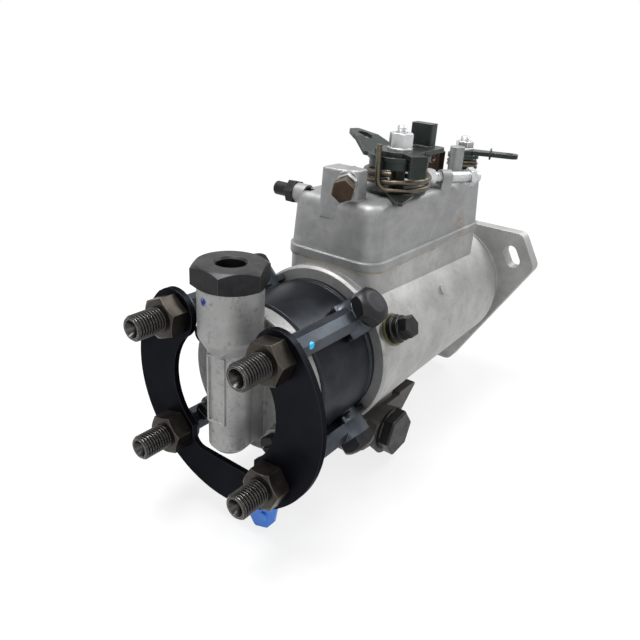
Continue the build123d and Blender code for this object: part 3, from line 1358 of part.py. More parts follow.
shut_a = atan2(10.0, 28.0)
LOOP_PLANE = Plane(
    origin=(SHUTOFF_X + 15 * cos(shut_a), SHUTOFF_Y + 15 * sin(shut_a), SHUT_LEVER_Z + 1.2),
    x_dir=(-sin(shut_a), cos(shut_a), 0),
    z_dir=(cos(shut_a), sin(shut_a), 0),
)
with BuildPart() as shutoff_lever:
    with BuildSketch(Plane.XY.offset(SHUT_LEVER_Z)):
        with Locations((SHUTOFF_X, SHUTOFF_Y)):
            Circle(7.0)
        with Locations((SHUTOFF_X + 13 * cos(shut_a), SHUTOFF_Y + 13 * sin(shut_a))):
            SlotOverall(36, 8, rotation=degrees(shut_a))
        with Locations((SHUTOFF_X + 26 * cos(shut_a), SHUTOFF_Y + 26 * sin(shut_a))):
            Circle(2.2, mode=Mode.SUBTRACT)
        with Locations((SHUTOFF_X, SHUTOFF_Y)):
            Circle(SHUT_SHAFT_R + STATIC, mode=Mode.SUBTRACT)
    extrude(amount=2.4)
    with BuildSketch(Plane.XY.offset(SHUT_LEVER_Z)):
        with Locations((SHUTOFF_X, SHUTOFF_Y)):
            Circle(9.0)
            Circle(SHUT_SHAFT_R + STATIC, mode=Mode.SUBTRACT)
    extrude(amount=-2.2)
    # Wire loop hung round the lever
    with BuildSketch(LOOP_PLANE):
        RectangleRounded(11.4, 5.6, 2.4)
        RectangleRounded(9.8, 4.0, 1.6, mode=Mode.SUBTRACT)
    extrude(amount=0.9)
shutoff_lever.part.label = "shutoff_lever"
export_step(shutoff_lever.part, "parts/shutoff_lever.step")

# Brown stop block on the cover beside the pillar
with BuildPart() as stop_block:
    with BuildSketch(Plane.XY.offset(COVER_TOP_Z)):
        with Locations((STOP_X, PILLAR_Y - 1)):
            RectangleRounded(8.4, 8.4, 1.0)
    extrude(amount=15.4)
    with BuildSketch(Plane.XZ.offset(70)):
        with Locations((STOP_X, COVER_TOP_Z + 11)):
            Circle(2.0)
    extrude(amount=-14, mode=Mode.SUBTRACT)
    chamfer(stop_block.edges().group_by(Axis.Z)[-1], length=0.6)
stop_block.part.label = "stop_block"
export_step(stop_block.part, "parts/stop_block.step")

# Idle stop screw through the front block
with BuildPart() as idle_stop_screw:
    with BuildSketch(IDLE_PLANE.offset(IDLE_OUT)):
        RegularPolygon(4.9, 6, major_radius=False, rotation=20)
    extrude(amount=5.0)
    chamfer(idle_stop_screw.edges().group_by(Axis.Y)[0], length=0.4)
    with BuildSketch(IDLE_PLANE.offset(IDLE_OUT)):
        Circle(3.0 - THREAD)
    extrude(amount=-IDLE_OUT - IDLE_IN)
idle_stop_screw.part.label = "idle_stop_screw"
export_step(idle_stop_screw.part, "parts/idle_stop_screw.step")

# Maximum speed screw lying across the cover's right edge
with BuildPart() as max_speed_screw:
    with BuildSketch(SPEED_PLANE):
        RegularPolygon(4.6, 6, major_radius=False)
    extrude(amount=-4.4)
    with BuildSketch(SPEED_PLANE):
        Circle(3.0 - THREAD)
    extrude(amount=SPEED_LENGTH + 3)
    with BuildSketch(SPEED_PLANE):
        Circle(4.0)
    extrude(amount=0.9)
max_speed_screw.part.label = "max_speed_screw"
export_step(max_speed_screw.part, "parts/max_speed_screw.step")

# Lock nuts of the two stop screws
with BuildPart() as stop_lock_nuts:
    for plane, turn in (
        (IDLE_PLANE.offset(0.9), 25),
        (SPEED_PLANE.offset(SPEED_LENGTH - 4.0), 15),
    ):
        with BuildSketch(plane):
            RegularPolygon(4.6, 6, major_radius=False, rotation=turn)
            Circle(3.0, mode=Mode.SUBTRACT)
        extrude(amount=3.6)
stop_lock_nuts.part.label = "stop_lock_nuts"
export_step(stop_lock_nuts.part, "parts/stop_lock_nuts.step")

# Back-leak union on the left wall of the cover
with BuildPart() as backleak_union:
    for start, length, r in ((0.0, 4.0, 3.6 - THREAD),):
        with BuildSketch(Plane(origin=(-LEAK_SEAT, LEAK_Y, LEAK_Z), x_dir=(0, 1, 0), z_dir=(-1, 0, 0))):
            Circle(r)
        extrude(amount=-length)
    with BuildSketch(Plane(origin=(-LEAK_SEAT, LEAK_Y, LEAK_Z), x_dir=(0, 1, 0), z_dir=(-1, 0, 0))):
        RegularPolygon(5.4, 6, major_radius=False, rotation=12)
    extrude(amount=4.6)
    with BuildSketch(Plane(origin=(-LEAK_SEAT - 4.6, LEAK_Y, LEAK_Z), x_dir=(0, 1, 0), z_dir=(-1, 0, 0))):
        Circle(3.6)
    extrude(amount=9.6)
    chamfer(backleak_union.edges().group_by(Axis.X)[0], length=0.6)
    with BuildSketch(Plane(origin=(-LEAK_SEAT + 5, LEAK_Y, LEAK_Z), x_dir=(0, 1, 0), z_dir=(-1, 0, 0))):
        Circle(1.8)
    extrude(amount=22, mode=Mode.SUBTRACT)
backleak_union.part.label = "backleak_union"
export_step(backleak_union.part, "parts/backleak_union.step")

# Cover bolts with domed heads, screwed into the bracket
with BuildPart() as cover_bolts:
    for x, y in COVER_STUDS:
        with BuildSketch(Plane.XY.offset(COVER_TOP_Z)):
            with Locations((x, y)):
                Circle(5.2)
        extrude(amount=1.0)
        with BuildSketch(Plane.XY.offset(COVER_TOP_Z + 1.0)):
            with Locations((x, y)):
                RegularPolygon(4.0, 6, major_radius=False)
        extrude(amount=4.0)
        with BuildSketch(Plane.XY.offset(COVER_TOP_Z + 5.0)):
            with Locations((x, y)):
                Circle(3.5)
        extrude(amount=2.4, taper=20)
        with BuildSketch(Plane.XY.offset(LEDGE_Z - 1.2)):
            with Locations((x, y)):
                Circle(2.5)
        extrude(amount=COVER_TOP_Z + 2 - LEDGE_Z + 1.2)
cover_bolts.part.label = "cover_bolts"
export_step(cover_bolts.part, "parts/cover_bolts.step")

# Governor spring from the pin on the throttle shaft's arm to the top of the governor arm
with BuildPart() as governor_spring:
    first = Vector(SPRING_X, SPRING_ARM_Y + SPRING_EYE, SPRING_Z)
    last = Vector(SPRING_X, PIVOT_Y - ARM_T / 2 - APART - SPRING_WIRE_R, SPRING_Z)
    with BuildLine() as governor_coil:
        Helix(
            pitch=SPRING_PITCH,
            height=last.Y - first.Y,
            radius=SPRING_COIL_R,
            center=first,
            direction=(0, 1, 0),
        )
    with BuildSketch(Plane(origin=governor_coil.line @ 0, z_dir=governor_coil.line % 0)):
        Circle(SPRING_WIRE_R)
    sweep(path=governor_coil.line, is_frenet=True)
governor_spring.part.label = "governor_spring"
export_step(governor_spring.part, "parts/governor_spring.step")

# Transfer pump behind the end plate: liner, and the rotor with its blades
with BuildPart() as transfer_liner:
    with BuildSketch(Plane.XZ.offset(-Y_HEAD_FRONT)):
        Circle(LINER_R - STATIC)
        with Locations((1.5, 0)):
            Circle(LINER_BORE_R, mode=Mode.SUBTRACT)
    extrude(amount=-PUMP_DEPTH)
transfer_liner.part.label = "transfer_liner"
export_step(transfer_liner.part, "parts/transfer_liner.step")

with BuildPart() as transfer_rotor:
    with BuildSketch(Plane.XZ.offset(-Y_HEAD_FRONT - APART)):
        Circle(TRANSFER_R - 0.6)
        for k in range(2):
            Rectangle(2 * TRANSFER_R, BLADE_T, rotation=45 + 90 * k)
    extrude(amount=-PUMP_DEPTH + 2 * APART)
    with BuildSketch(Plane.XZ.offset(-Y_HEAD_FRONT - PUMP_DEPTH)):
        Circle(3.0)
    extrude(amount=PUMP_DEPTH - 4, mode=Mode.SUBTRACT)
transfer_rotor.part.label = "transfer_rotor"
export_step(transfer_rotor.part, "parts/transfer_rotor.step")

# Advance unit under the housing: cast body with a cross bore, piston, spring, plugs and the cam screw
with BuildPart() as advance_housing:
    with BuildSketch(Plane.YZ.offset(-ADVANCE_HALF)):
        with BuildLine():
            FilletPolyline(
                (ADVANCE_Y - 31, PAD_Z), (ADVANCE_Y - 31, PAD_Z - 9), (ADVANCE_Y - 21, PAD_Z - 19.5),
                (ADVANCE_Y + 14, PAD_Z - 24), (ADVANCE_Y + 24, PAD_Z - 18), (ADVANCE_Y + 46, PAD_Z + 1.6),
                (ADVANCE_Y + 25, PAD_Z + 1.6), (ADVANCE_Y + 25, PAD_Z),
                radius=1.4,
                close=True,
            )
        make_face()
    extrude(amount=2 * ADVANCE_HALF)
    with BuildSketch(Plane.XY.offset(PAD_Z - 30)):
        with BuildLine():
            FilletPolyline(
                (-12, ADVANCE_Y - 32), (12, ADVANCE_Y - 32), (ADVANCE_HALF, ADVANCE_Y - 12),
                (ADVANCE_HALF, ADVANCE_Y + 48), (-ADVANCE_HALF, ADVANCE_Y + 48),
                (-ADVANCE_HALF, ADVANCE_Y - 12),
                radius=2.0,
                close=True,
            )
        make_face()
    extrude(amount=40, mode=Mode.INTERSECT)
    # Flared bosses of the end plugs, each with a rim round its plug
    for side in (-1, 1):
        end = (side * (ADVANCE_HALF + 8), ADVANCE_Y, ADVANCE_Z)
        with BuildSketch(Plane(origin=end, x_dir=(0, side, 0), z_dir=(side, 0, 0))):
            Circle(RIM_R)
        extrude(amount=-14, taper=14)
    # Clearance for the round housing above the pad
    with BuildSketch(Plane.XZ.offset(0)):
        Circle(PAD_CLEAR_R)
    extrude(amount=200, mode=Mode.SUBTRACT)
    with BuildSketch(Plane.XY.offset(PAD_Z)):
        with Locations((0, ADVANCE_Y)):
            Rectangle(90, 50.6)
    extrude(amount=20, mode=Mode.SUBTRACT)
    # Piston bore, threads of the end plugs and the slot of the cam screw
    with BuildSketch(Plane.YZ.offset(-60)):
        with Locations((ADVANCE_Y, ADVANCE_Z)):
            Circle(PISTON_R)
    extrude(amount=120, mode=Mode.SUBTRACT)
    with BuildSketch(Plane.XY.offset(ADVANCE_Z)):
        with Locations((0, ADVANCE_Y)):
            SlotOverall(ADVANCE_SLOT + 10, 10.5)
    extrude(amount=20, mode=Mode.SUBTRACT)
    with BuildSketch(Plane.XY.offset(PAD_Z - 30)):
        for y in (ADVANCE_Y - 19, ADVANCE_Y + 19):
            with Locations((0, y)):
                Circle(3.2)
    extrude(amount=40, mode=Mode.SUBTRACT)
    with BuildSketch(Plane.XY.offset(PAD_Z - STUD_SEAT)):
        for y in (ADVANCE_Y - 19, ADVANCE_Y + 19):
            with Locations((0, y)):
                Circle(7.0)
    extrude(amount=-10, mode=Mode.SUBTRACT)
advance_housing.part.label = "advance_housing"
export_step(advance_housing.part, "parts/advance_housing.step")

with BuildPart() as advance_studs:
    for y in (ADVANCE_Y - 19, ADVANCE_Y + 19):
        with BuildSketch(Plane.XY.offset(PAD_Z + 6.5)):
            with Locations((0, y)):
                Circle(3.2 - THREAD)
        extrude(amount=-6.5 - STUD_SEAT - 2)
    for y in (ADVANCE_Y - 19, ADVANCE_Y + 19):
        with BuildSketch(Plane.XY.offset(PAD_Z - STUD_SEAT)):
            with Locations((0, y)):
                RegularPolygon(5.5, 6, major_radius=False)
        extrude(amount=-4.6)
advance_studs.part.label = "advance_studs"
export_step(advance_studs.part, "parts/advance_studs.step")

with BuildPart() as advance_piston:
    with BuildSketch(Plane.YZ.offset(-15)):
        with Locations((ADVANCE_Y, ADVANCE_Z)):
            Circle(PISTON_R - RUN)
    extrude(amount=30)
    chamfer(advance_piston.edges().filter_by(GeomType.CIRCLE), length=0.6)
    with BuildSketch(Plane.XY.offset(ADVANCE_Z - 7)):
        with Locations((0, ADVANCE_Y)):
            Circle(ADVANCE_BALL_R + 0.1)
    extrude(amount=20, mode=Mode.SUBTRACT)
    with BuildSketch(Plane.YZ.offset(-16)):
        with Locations((ADVANCE_Y, ADVANCE_Z)):
            Circle(PLUG_HOLE_R)
    extrude(amount=8, mode=Mode.SUBTRACT)
advance_piston.part.label = "advance_piston"
export_step(advance_piston.part, "parts/advance_piston.step")

with BuildPart() as cam_advance_screw:
    with BuildSketch(Plane.XY.offset(-CAM_R + 6.2)):
        with Locations((0, Y_CAM)):
            Circle(ADVANCE_BALL_R - 0.95)
    extrude(amount=ADVANCE_Z + CAM_R - 6.2)
    with BuildSketch(Plane.XY.offset(-CAM_R - 0.2)):
        with Locations((0, Y_CAM)):
            RegularPolygon(4.4, 6, major_radius=False)
    extrude(amount=-4.0)
    with Locations((0, Y_CAM, ADVANCE_Z)):
        Sphere(ADVANCE_BALL_R)
cam_advance_screw.part.label = "cam_advance_screw"
export_step(cam_advance_screw.part, "parts/cam_advance_screw.step")

with BuildPart() as advance_spring:
    with BuildLine() as advance_coil:
        Helix(
            pitch=4.0,
            height=ADVANCE_COIL,
            radius=ADVANCE_COIL_R,
            center=(-15.6 + 6.4 - ADVANCE_COIL, ADVANCE_Y, ADVANCE_Z),
            direction=(1, 0, 0),
        )
    with BuildSketch(Plane(origin=advance_coil.line @ 0, z_dir=advance_coil.line % 0)):
        Circle(0.9)
    sweep(path=advance_coil.line, is_frenet=True)
advance_spring.part.label = "advance_spring"
export_step(advance_spring.part, "parts/advance_spring.step")

# End plugs of the advance unit: large hexagons on both sides
with BuildPart() as advance_end_plugs:
    for side in (1, -1):
        end = (side * (ADVANCE_HALF + 8), ADVANCE_Y, ADVANCE_Z)
        seat = Plane(origin=end, x_dir=(0, side, 0), z_dir=(side, 0, 0))
        with BuildSketch(seat):
            Circle(RIM_R - 2.6)
        extrude(amount=1.6)
        with BuildSketch(seat.offset(1.6)):
            RegularPolygon(PLUG_AF / 2, 6, major_radius=False, rotation=8)
        extrude(amount=6.4)
        with BuildSketch(seat):
            Circle(PISTON_R - THREAD)
        extrude(amount=-7.0)
        with BuildSketch(seat.offset(-8)):
            Circle(PLUG_HOLE_R)
        extrude(amount=7, mode=Mode.SUBTRACT)
    plug_edges = advance_end_plugs.edges().group_by(Axis.X)
    chamfer(plug_edges[-1] + plug_edges[0], length=0.9)
advance_end_plugs.part.label = "advance_end_plugs"
export_step(advance_end_plugs.part, "parts/advance_end_plugs.step")

# Blue plastic tag hung on the lower right outlet behind the ring plate
with BuildPart() as blue_tag:
    tx, tz = OUTLET_PCR * cos(radians(315)), OUTLET_PCR * sin(radians(315))
    with BuildSketch(Plane.XZ.offset(-Y_RING_FRONT - RING_T - COLLAR_T - 0.2)):
        with Locations((tx, tz)):
            Circle(8.9)
        with BuildLine():
            FilletPolyline(
                (tx - 8.5, tz - 2.0), (tx + 5.0, tz - 7.0), (tx - 1.5, tz - 15.5), (tx - 4.0, tz - 31.0),
                (tx - 7.8, tz - 36.4), (tx - 15.6, tz - 39.2), (tx - 19.2, tz - 34.4), (tx - 15.1, tz - 23.0),
                radius=1.8,
                close=True,
            )
        make_face()
        with Locations((tx, tz)):
            RegularPolygon(ARM_AF / 2 + 0.2, 8, major_radius=False, rotation=22.5, mode=Mode.SUBTRACT)
    extrude(amount=-1.6)
    with BuildSketch(Plane.XZ.offset(-Y_RING_FRONT - RING_T - COLLAR_T - 0.2)):
        with Locations((tx - 10.0, tz - 30.3)):
            Circle(2.6)
    extrude(amount=1.0, taper=30)
blue_tag.part.label = "blue_tag"
export_step(blue_tag.part, "parts/blue_tag.step")
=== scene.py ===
import math

import bmesh
import bpy
from mathutils import Matrix, Vector


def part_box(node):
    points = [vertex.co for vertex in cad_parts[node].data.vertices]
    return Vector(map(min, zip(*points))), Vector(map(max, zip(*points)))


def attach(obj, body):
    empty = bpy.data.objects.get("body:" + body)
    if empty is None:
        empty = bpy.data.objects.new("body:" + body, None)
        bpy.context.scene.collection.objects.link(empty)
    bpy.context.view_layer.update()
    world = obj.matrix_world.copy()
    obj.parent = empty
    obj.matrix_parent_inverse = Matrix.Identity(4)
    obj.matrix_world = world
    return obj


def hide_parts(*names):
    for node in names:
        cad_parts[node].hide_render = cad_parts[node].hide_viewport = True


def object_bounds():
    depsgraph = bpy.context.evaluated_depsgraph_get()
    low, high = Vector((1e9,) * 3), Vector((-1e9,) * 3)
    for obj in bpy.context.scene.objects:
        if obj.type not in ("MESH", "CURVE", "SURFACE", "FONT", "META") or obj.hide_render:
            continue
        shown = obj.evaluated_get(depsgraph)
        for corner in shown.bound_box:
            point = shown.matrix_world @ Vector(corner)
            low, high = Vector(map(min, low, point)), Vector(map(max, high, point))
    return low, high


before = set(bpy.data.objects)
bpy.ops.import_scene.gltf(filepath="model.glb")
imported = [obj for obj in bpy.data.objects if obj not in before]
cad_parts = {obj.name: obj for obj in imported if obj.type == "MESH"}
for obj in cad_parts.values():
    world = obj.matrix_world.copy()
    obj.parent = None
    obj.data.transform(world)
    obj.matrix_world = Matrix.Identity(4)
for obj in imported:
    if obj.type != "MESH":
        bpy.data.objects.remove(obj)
cad_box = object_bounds()
MM = 0.001


# Node trees

class Value:
    """A number coming out of a node; arithmetic on it adds Math nodes to its tree."""

    def __init__(self, graph, socket):
        self.graph = graph
        self.socket = socket

    def math(self, operation, *others, clamp=False):
        settings = {"operation": operation, "use_clamp": clamp}
        return self.graph.node("ShaderNodeMath", settings, dict(enumerate((self,) + others))).value(0)

    def __add__(self, other):
        return self.math("ADD", other)

    __radd__ = __add__

    def __sub__(self, other):
        return self.math("SUBTRACT", other)

    def __rsub__(self, other):
        return self.graph.number(other).math("SUBTRACT", self)

    def __mul__(self, other):
        return self.math("MULTIPLY", other)

    __rmul__ = __mul__

    def __truediv__(self, other):
        return self.math("DIVIDE", other)

    def within(self):
        return self.math("ADD", 0.0, clamp=True)

    def rise(self, low, high):
        """0 below low, 1 above high, smooth between."""
        settings = {"interpolation_type": "SMOOTHSTEP"}
        return self.graph.node("ShaderNodeMapRange", settings, {0: self, 1: low, 2: high}).value(0)


class Made:
    """One node, with its outputs as values."""

    def __init__(self, graph, node):
        self.graph = graph
        self.node = node

    def value(self, which):
        return Value(self.graph, self.graph.find(self.node.outputs, which))


class Graph:
    """A node tree under construction."""

    def __init__(self, tree):
        self.tree = tree

    def find(self, sockets, which):
        if isinstance(which, int):
            return sockets[which]
        for socket in sockets:
            if socket.identifier == which:
                return socket
        return sockets[which]

    def node(self, kind, settings=None, inputs=None):
        node = self.tree.nodes.new(kind)
        for name, setting in (settings or {}).items():
            if name == "stops":
                self.stops(node.color_ramp, setting)
            else:
                setattr(node, name, setting)
        for which, given in (inputs or {}).items():
            socket = self.find(node.inputs, which)
            if isinstance(given, Value):
                self.tree.links.new(given.socket, socket)
            else:
                socket.default_value = given
        return Made(self, node)

    def stops(self, ramp, stops):
        while len(ramp.elements) < len(stops):
            ramp.elements.new(0.5)
        for element, (place, colour) in zip(ramp.elements, stops):
            element.position = place
            element.color = (*colour, 1.0)

    def number(self, amount):
        made = self.node("ShaderNodeValue")
        made.node.outputs[0].default_value = amount
        return made.value(0)

    def vector(self, x, y, z):
        return self.node("ShaderNodeCombineXYZ", None, {0: x, 1: y, 2: z}).value(0)

    def turned(self, operation, *vectors, scale=None):
        inputs = dict(enumerate(vectors))
        if scale is not None:
            inputs["Scale"] = scale
        result = "Value" if operation in ("DOT_PRODUCT", "LENGTH", "DISTANCE") else "Vector"
        return self.node("ShaderNodeVectorMath", {"operation": operation}, inputs).value(result)


class Finish(Graph):
    """A surface finish: one material whose colour, roughness and relief come from its nodes."""

    def __init__(self, name, metallic=0.0, coat=0.0, coat_roughness=0.2, specular=0.5, rim=1.0):
        self.material = bpy.data.materials.new(name)
        self.material.use_nodes = True
        super().__init__(self.material.node_tree)
        self.tree.nodes.clear()
        self.shader = self.node("ShaderNodeBsdfPrincipled", None, {
            "Metallic": metallic,
            "Coat Weight": coat,
            "Coat Roughness": coat_roughness,
            "Specular IOR Level": specular,
            "Specular Tint": (rim, rim, rim, 1.0),
        }).node
        self.node("ShaderNodeOutputMaterial", None, {"Surface": Value(self, self.shader.outputs[0])})
        self.place = self.node("ShaderNodeTexCoord").value("Object")
        self.relief = []

    def feed(self, name, given):
        socket = self.find(self.shader.inputs, name)
        if isinstance(given, Value):
            self.tree.links.new(given.socket, socket)
        else:
            socket.default_value = given

    def noise(self, size, detail=2.0, roughness=0.5, stretch=None, distortion=0.0):
        """Noise whose blotches are about size millimetres across."""
        where = self.place
        if stretch is not None:
            where = self.node("ShaderNodeMapping", None, {"Vector": self.place, "Scale": stretch}).value(0)
        return self.node("ShaderNodeTexNoise", None, {
            "Vector": where,
            "Scale": 1.0 / (size * MM),
            "Detail": detail,
            "Roughness": roughness,
            "Distortion": distortion,
        }).value(0)

    def pits(self, size):
        """Distance to the nearest cell centre, for small craters."""
        return self.node("ShaderNodeTexVoronoi", None, {
            "Vector": self.place,
            "Scale": 1.0 / (size * MM),
        }).value("Distance")

    def axes(self):
        split = self.node("ShaderNodeSeparateXYZ", None, {0: self.place})
        return split.value(0), split.value(1), split.value(2)

    def spot(self, centre, inner, outer):
        """1 within inner millimetres of a point, 0 beyond outer."""
        point = tuple(c * MM for c in centre)
        gap = self.turned("DISTANCE", self.place, point)
        return 1.0 - gap.rise(inner * MM, outer * MM)

    def edges(self, radius, low=0.02, high=0.16):
        """1 along outer and inner edges, from the bevelled against the true normal."""
        soft = self.node("ShaderNodeBevel", {"samples": 6}, {"Radius": radius * MM}).value(0)
        true = self.node("ShaderNodeNewGeometry").value("Normal")
        return (1.0 - self.turned("DOT_PRODUCT", soft, true)).rise(low, high)

    def mix(self, factor, first, second):
        sockets = {"Factor_Float": factor}
        for name, colour in (("A_Color", first), ("B_Color", second)):
            sockets[name] = colour if isinstance(colour, Value) else (*colour, 1.0)
        return self.node("ShaderNodeMix", {"data_type": "RGBA"}, sockets).value("Result_Color")

    def bump(self, height, distance, strength=1.0):
        """Adds relief of so many millimetres; heights run from 0 to 1."""
        self.relief.append((height, distance * MM, strength))

    def done(self, colour, roughness, round_edges=0.35):
        self.feed("Base Color", colour if isinstance(colour, Value) else (*colour, 1.0))
        self.feed("Roughness", roughness)
        normal = None
        if round_edges:
            normal = self.node("ShaderNodeBevel", {"samples": 6}, {"Radius": round_edges * MM}).value(0)
        for height, distance, strength in self.relief:
            inputs = {"Height": height, "Distance": distance, "Strength": strength}
            if normal is not None:
                inputs["Normal"] = normal
            normal = self.node("ShaderNodeBump", None, inputs).value(0)
        if normal is not None:
            self.feed("Normal", normal)
        return self.material


# Finishes

def blasted_aluminium():
    """Bead-blasted housing casting: pale, fine-grained, with faint handling smudges."""
    f = Finish("blasted_aluminium", metallic=0.75)
    grain = f.noise(0.35, detail=3.0, roughness=0.65)
    cloud = f.noise(22.0, detail=4.0, roughness=0.6).rise(0.3, 0.7)
    smudge = f.noise(7.0, detail=5.0, roughness=0.7, distortion=0.6).rise(0.50, 0.72)
    speck = f.noise(0.9, detail=4.0, roughness=0.75).rise(0.52, 0.68)
    edge_mask = f.edges(0.5)
    colour = f.mix(cloud, (0.31, 0.308, 0.302), (0.41, 0.408, 0.40))
    colour = f.mix(smudge * 0.25, colour, (0.18, 0.175, 0.165))
    colour = f.mix(speck * 0.35, colour, (0.15, 0.145, 0.14))
    x, y, z = f.axes()
    # Darker and browner under the front of the housing: partly dirt, partly painted shade under the body.
    underside_grime_and_shade = (1.0 - z.rise(-46 * MM, -30 * MM)) * (1.0 - y.rise(-90 * MM, -70 * MM))
    colour = f.mix(underside_grime_and_shade * 0.85, colour, (0.075, 0.062, 0.048))
    colour = f.mix(edge_mask * 0.5, colour, (0.60, 0.60, 0.59))
    f.bump(grain, 0.05, 0.8)
    f.bump(f.noise(2.4, detail=3.0), 0.10, 0.5)
    return f.done(colour, 0.42 + 0.2 * grain + 0.1 * smudge, 0.6)


def cast_aluminium():
    """Die cast cover: satin grey skin with flow marks, fine pits and a brown stain near its foot."""
    f = Finish("cast_aluminium", metallic=0.7)
    skin = f.noise(0.6, detail=4.0, roughness=0.6)
    flow = f.noise(9.0, detail=5.0, roughness=0.62, stretch=(1.0, 0.45, 1.3), distortion=1.2)
    pits = f.pits(1.7).rise(0.0, 0.22)
    grime = f.noise(3.5, detail=6.0, roughness=0.75).rise(0.55, 0.8)
    blotch = f.noise(16.0, detail=5.0, roughness=0.65, distortion=0.8).rise(0.38, 0.66)
    edge_mask = f.edges(0.6)
    stain = f.spot((29.0, -62.0, 55.0), 1.0, 9.0) * f.noise(1.8, detail=4.0).rise(0.42, 0.62)
    colour = f.mix(flow, (0.21, 0.212, 0.216), (0.36, 0.36, 0.36))
    colour = f.mix(blotch * 0.32, colour, (0.15, 0.15, 0.152))
    colour = f.mix(grime * 0.45, colour, (0.13, 0.127, 0.12))
    colour = f.mix(edge_mask * 0.55, colour, (0.60, 0.60, 0.59))
    colour = f.mix(stain * 0.8, colour, (0.22, 0.12, 0.05))
    f.bump(skin, 0.06, 0.8)
    f.bump(flow, 0.25, 0.35)
    f.bump(pits, 0.05, 0.5)
    return f.done(colour, 0.40 + 0.22 * skin + 0.12 * grime, 0.9)


def tower_aluminium():
    """Sand cast end plate and inlet tower, dulled by oil, with one blue inspector's dab."""
    f = Finish("tower_aluminium", metallic=0.7)
    skin = f.noise(0.8, detail=4.0, roughness=0.65)
    cloud = f.noise(11.0, detail=5.0, roughness=0.6)
    soot = f.noise(4.0, detail=6.0, roughness=0.75).rise(0.5, 0.74)
    edge_mask = f.edges(0.5)
    dab = f.spot((-1.7, -240.4, 48.2), 1.2, 2.4) * f.noise(0.9).rise(0.3, 0.5)
    colour = f.mix(cloud, (0.24, 0.24, 0.238), (0.40, 0.398, 0.39))
    colour = f.mix(soot * 0.6, colour, (0.08, 0.078, 0.075))
    colour = f.mix(edge_mask * 0.5, colour, (0.50, 0.50, 0.49))
    colour = f.mix(dab, colour, (0.01, 0.03, 0.22))
    f.bump(skin, 0.09, 0.9)
    f.bump(f.noise(3.0, detail=3.0), 0.15, 0.5)
    return f.done(colour, 0.40 + 0.2 * skin + 0.15 * soot, 0.6)


def blued_steel(name, low, high, dots=()):
    """Chemically blacked steel: dark blue-grey sheen, turning rings, rubbed edges."""
    f = Finish(name, metallic=0.9, specular=0.25, rim=0.7)
    cloud = f.noise(16.0, detail=4.0, roughness=0.55)
    rings = f.noise(0.5, detail=1.0, stretch=(0.05, 1.0, 0.05))
    scuff = f.noise(1.6, detail=5.0, roughness=0.8, distortion=1.5).rise(0.62, 0.75)
    edge_mask = f.edges(0.35)
    colour = f.mix(cloud.rise(0.3, 0.7), low, high)
    colour = f.mix(scuff * 0.5, colour, (0.11, 0.117, 0.125))
    colour = f.mix(edge_mask * 0.6, colour, (0.17, 0.175, 0.18))
    for centre, radius, paint in dots:
        colour = f.mix(f.spot(centre, radius * 0.75, radius), colour, paint)
    f.bump(rings, 0.02, 0.5)
    return f.done(colour, 0.28 + 0.2 * cloud + 0.1 * scuff, 0.5)


def ring_black():
    """Pressed clamp plate in thick semi-gloss black, a little dust in the grain."""
    f = Finish("ring_black", metallic=0.95, specular=0.2, rim=0.4)
    cloud = f.noise(14.0, detail=4.0)
    orange = f.noise(1.3, detail=2.0)
    dust = f.noise(0.5, detail=3.0).rise(0.6, 0.78)
    edge_mask = f.edges(0.3)
    colour = f.mix(cloud, (0.008, 0.008, 0.011), (0.018, 0.019, 0.023))
    colour = f.mix(dust * 0.25, colour, (0.05, 0.05, 0.05))
    colour = f.mix(edge_mask * 0.45, colour, (0.08, 0.08, 0.085))
    f.bump(orange, 0.04, 0.5)
    return f.done(colour, 0.34 + 0.14 * cloud + 0.2 * dust, 0.5)


def phosphate(name, low, high, edge_colour, shine=0.32):
    """Oiled phosphate on steel: mottled dark crystal skin, brighter on rubbed edges; a near-white edge
    colour adds a painted highlight there.
    """
    f = Finish(name, metallic=0.9, specular=0.3)
    crystal = f.noise(0.22, detail=2.0)
    cloud = f.noise(5.0, detail=5.0, roughness=0.65)
    oil = f.noise(8.0, detail=2.0).rise(0.4, 0.65)
    edge_mask = f.edges(0.3)
    colour = f.mix(cloud, low, high)
    # Edges lighter: rubbed wear, plus a painted highlight where the edge colour is near white.
    colour = f.mix(edge_mask * 0.7, colour, edge_colour)
    f.bump(crystal, 0.02, 0.7)
    return f.done(colour, shine + 0.16 * cloud + 0.1 * oil, 0.35)


def zinc():
    """Bright zinc plate, slightly bluish, dulled in its corners."""
    f = Finish("zinc_plate", metallic=1.0)
    cloud = f.noise(2.5, detail=4.0)
    dull = f.noise(0.7, detail=4.0).rise(0.5, 0.7)
    edge_mask = f.edges(0.3)
    colour = f.mix(cloud, (0.46, 0.47, 0.48), (0.66, 0.67, 0.67))
    colour = f.mix(dull * 0.3, colour, (0.30, 0.30, 0.30))
    colour = f.mix(edge_mask * 0.5, colour, (0.82, 0.82, 0.82))
    f.bump(f.noise(0.3), 0.01, 0.5)
    return f.done(colour, 0.26 + 0.18 * cloud, 0.3)


def spring_wire(name, low, high):
    """Drawn spring wire, brown tempered, oiled."""
    f = Finish(name, metallic=0.95)
    cloud = f.noise(3.0, detail=4.0)
    drawn = f.noise(0.4, detail=2.0)
    colour = f.mix(cloud, low, high)
    f.bump(drawn, 0.015, 0.6)
    return f.done(colour, 0.30 + 0.16 * cloud, 0.0)


def ground_steel():
    """Hardened and ground inner parts."""
    f = Finish("ground_steel", metallic=1.0)
    cloud = f.noise(6.0, detail=3.0)
    lines = f.noise(0.3, detail=2.0, stretch=(0.1, 1.0, 0.1))
    edge_mask = f.edges(0.3)
    colour = f.mix(cloud, (0.42, 0.42, 0.43), (0.58, 0.58, 0.58))
    colour = f.mix(edge_mask * 0.5, colour, (0.75, 0.75, 0.75))
    f.bump(lines, 0.008, 0.6)
    return f.done(colour, 0.22 + 0.15 * lines, 0.25)


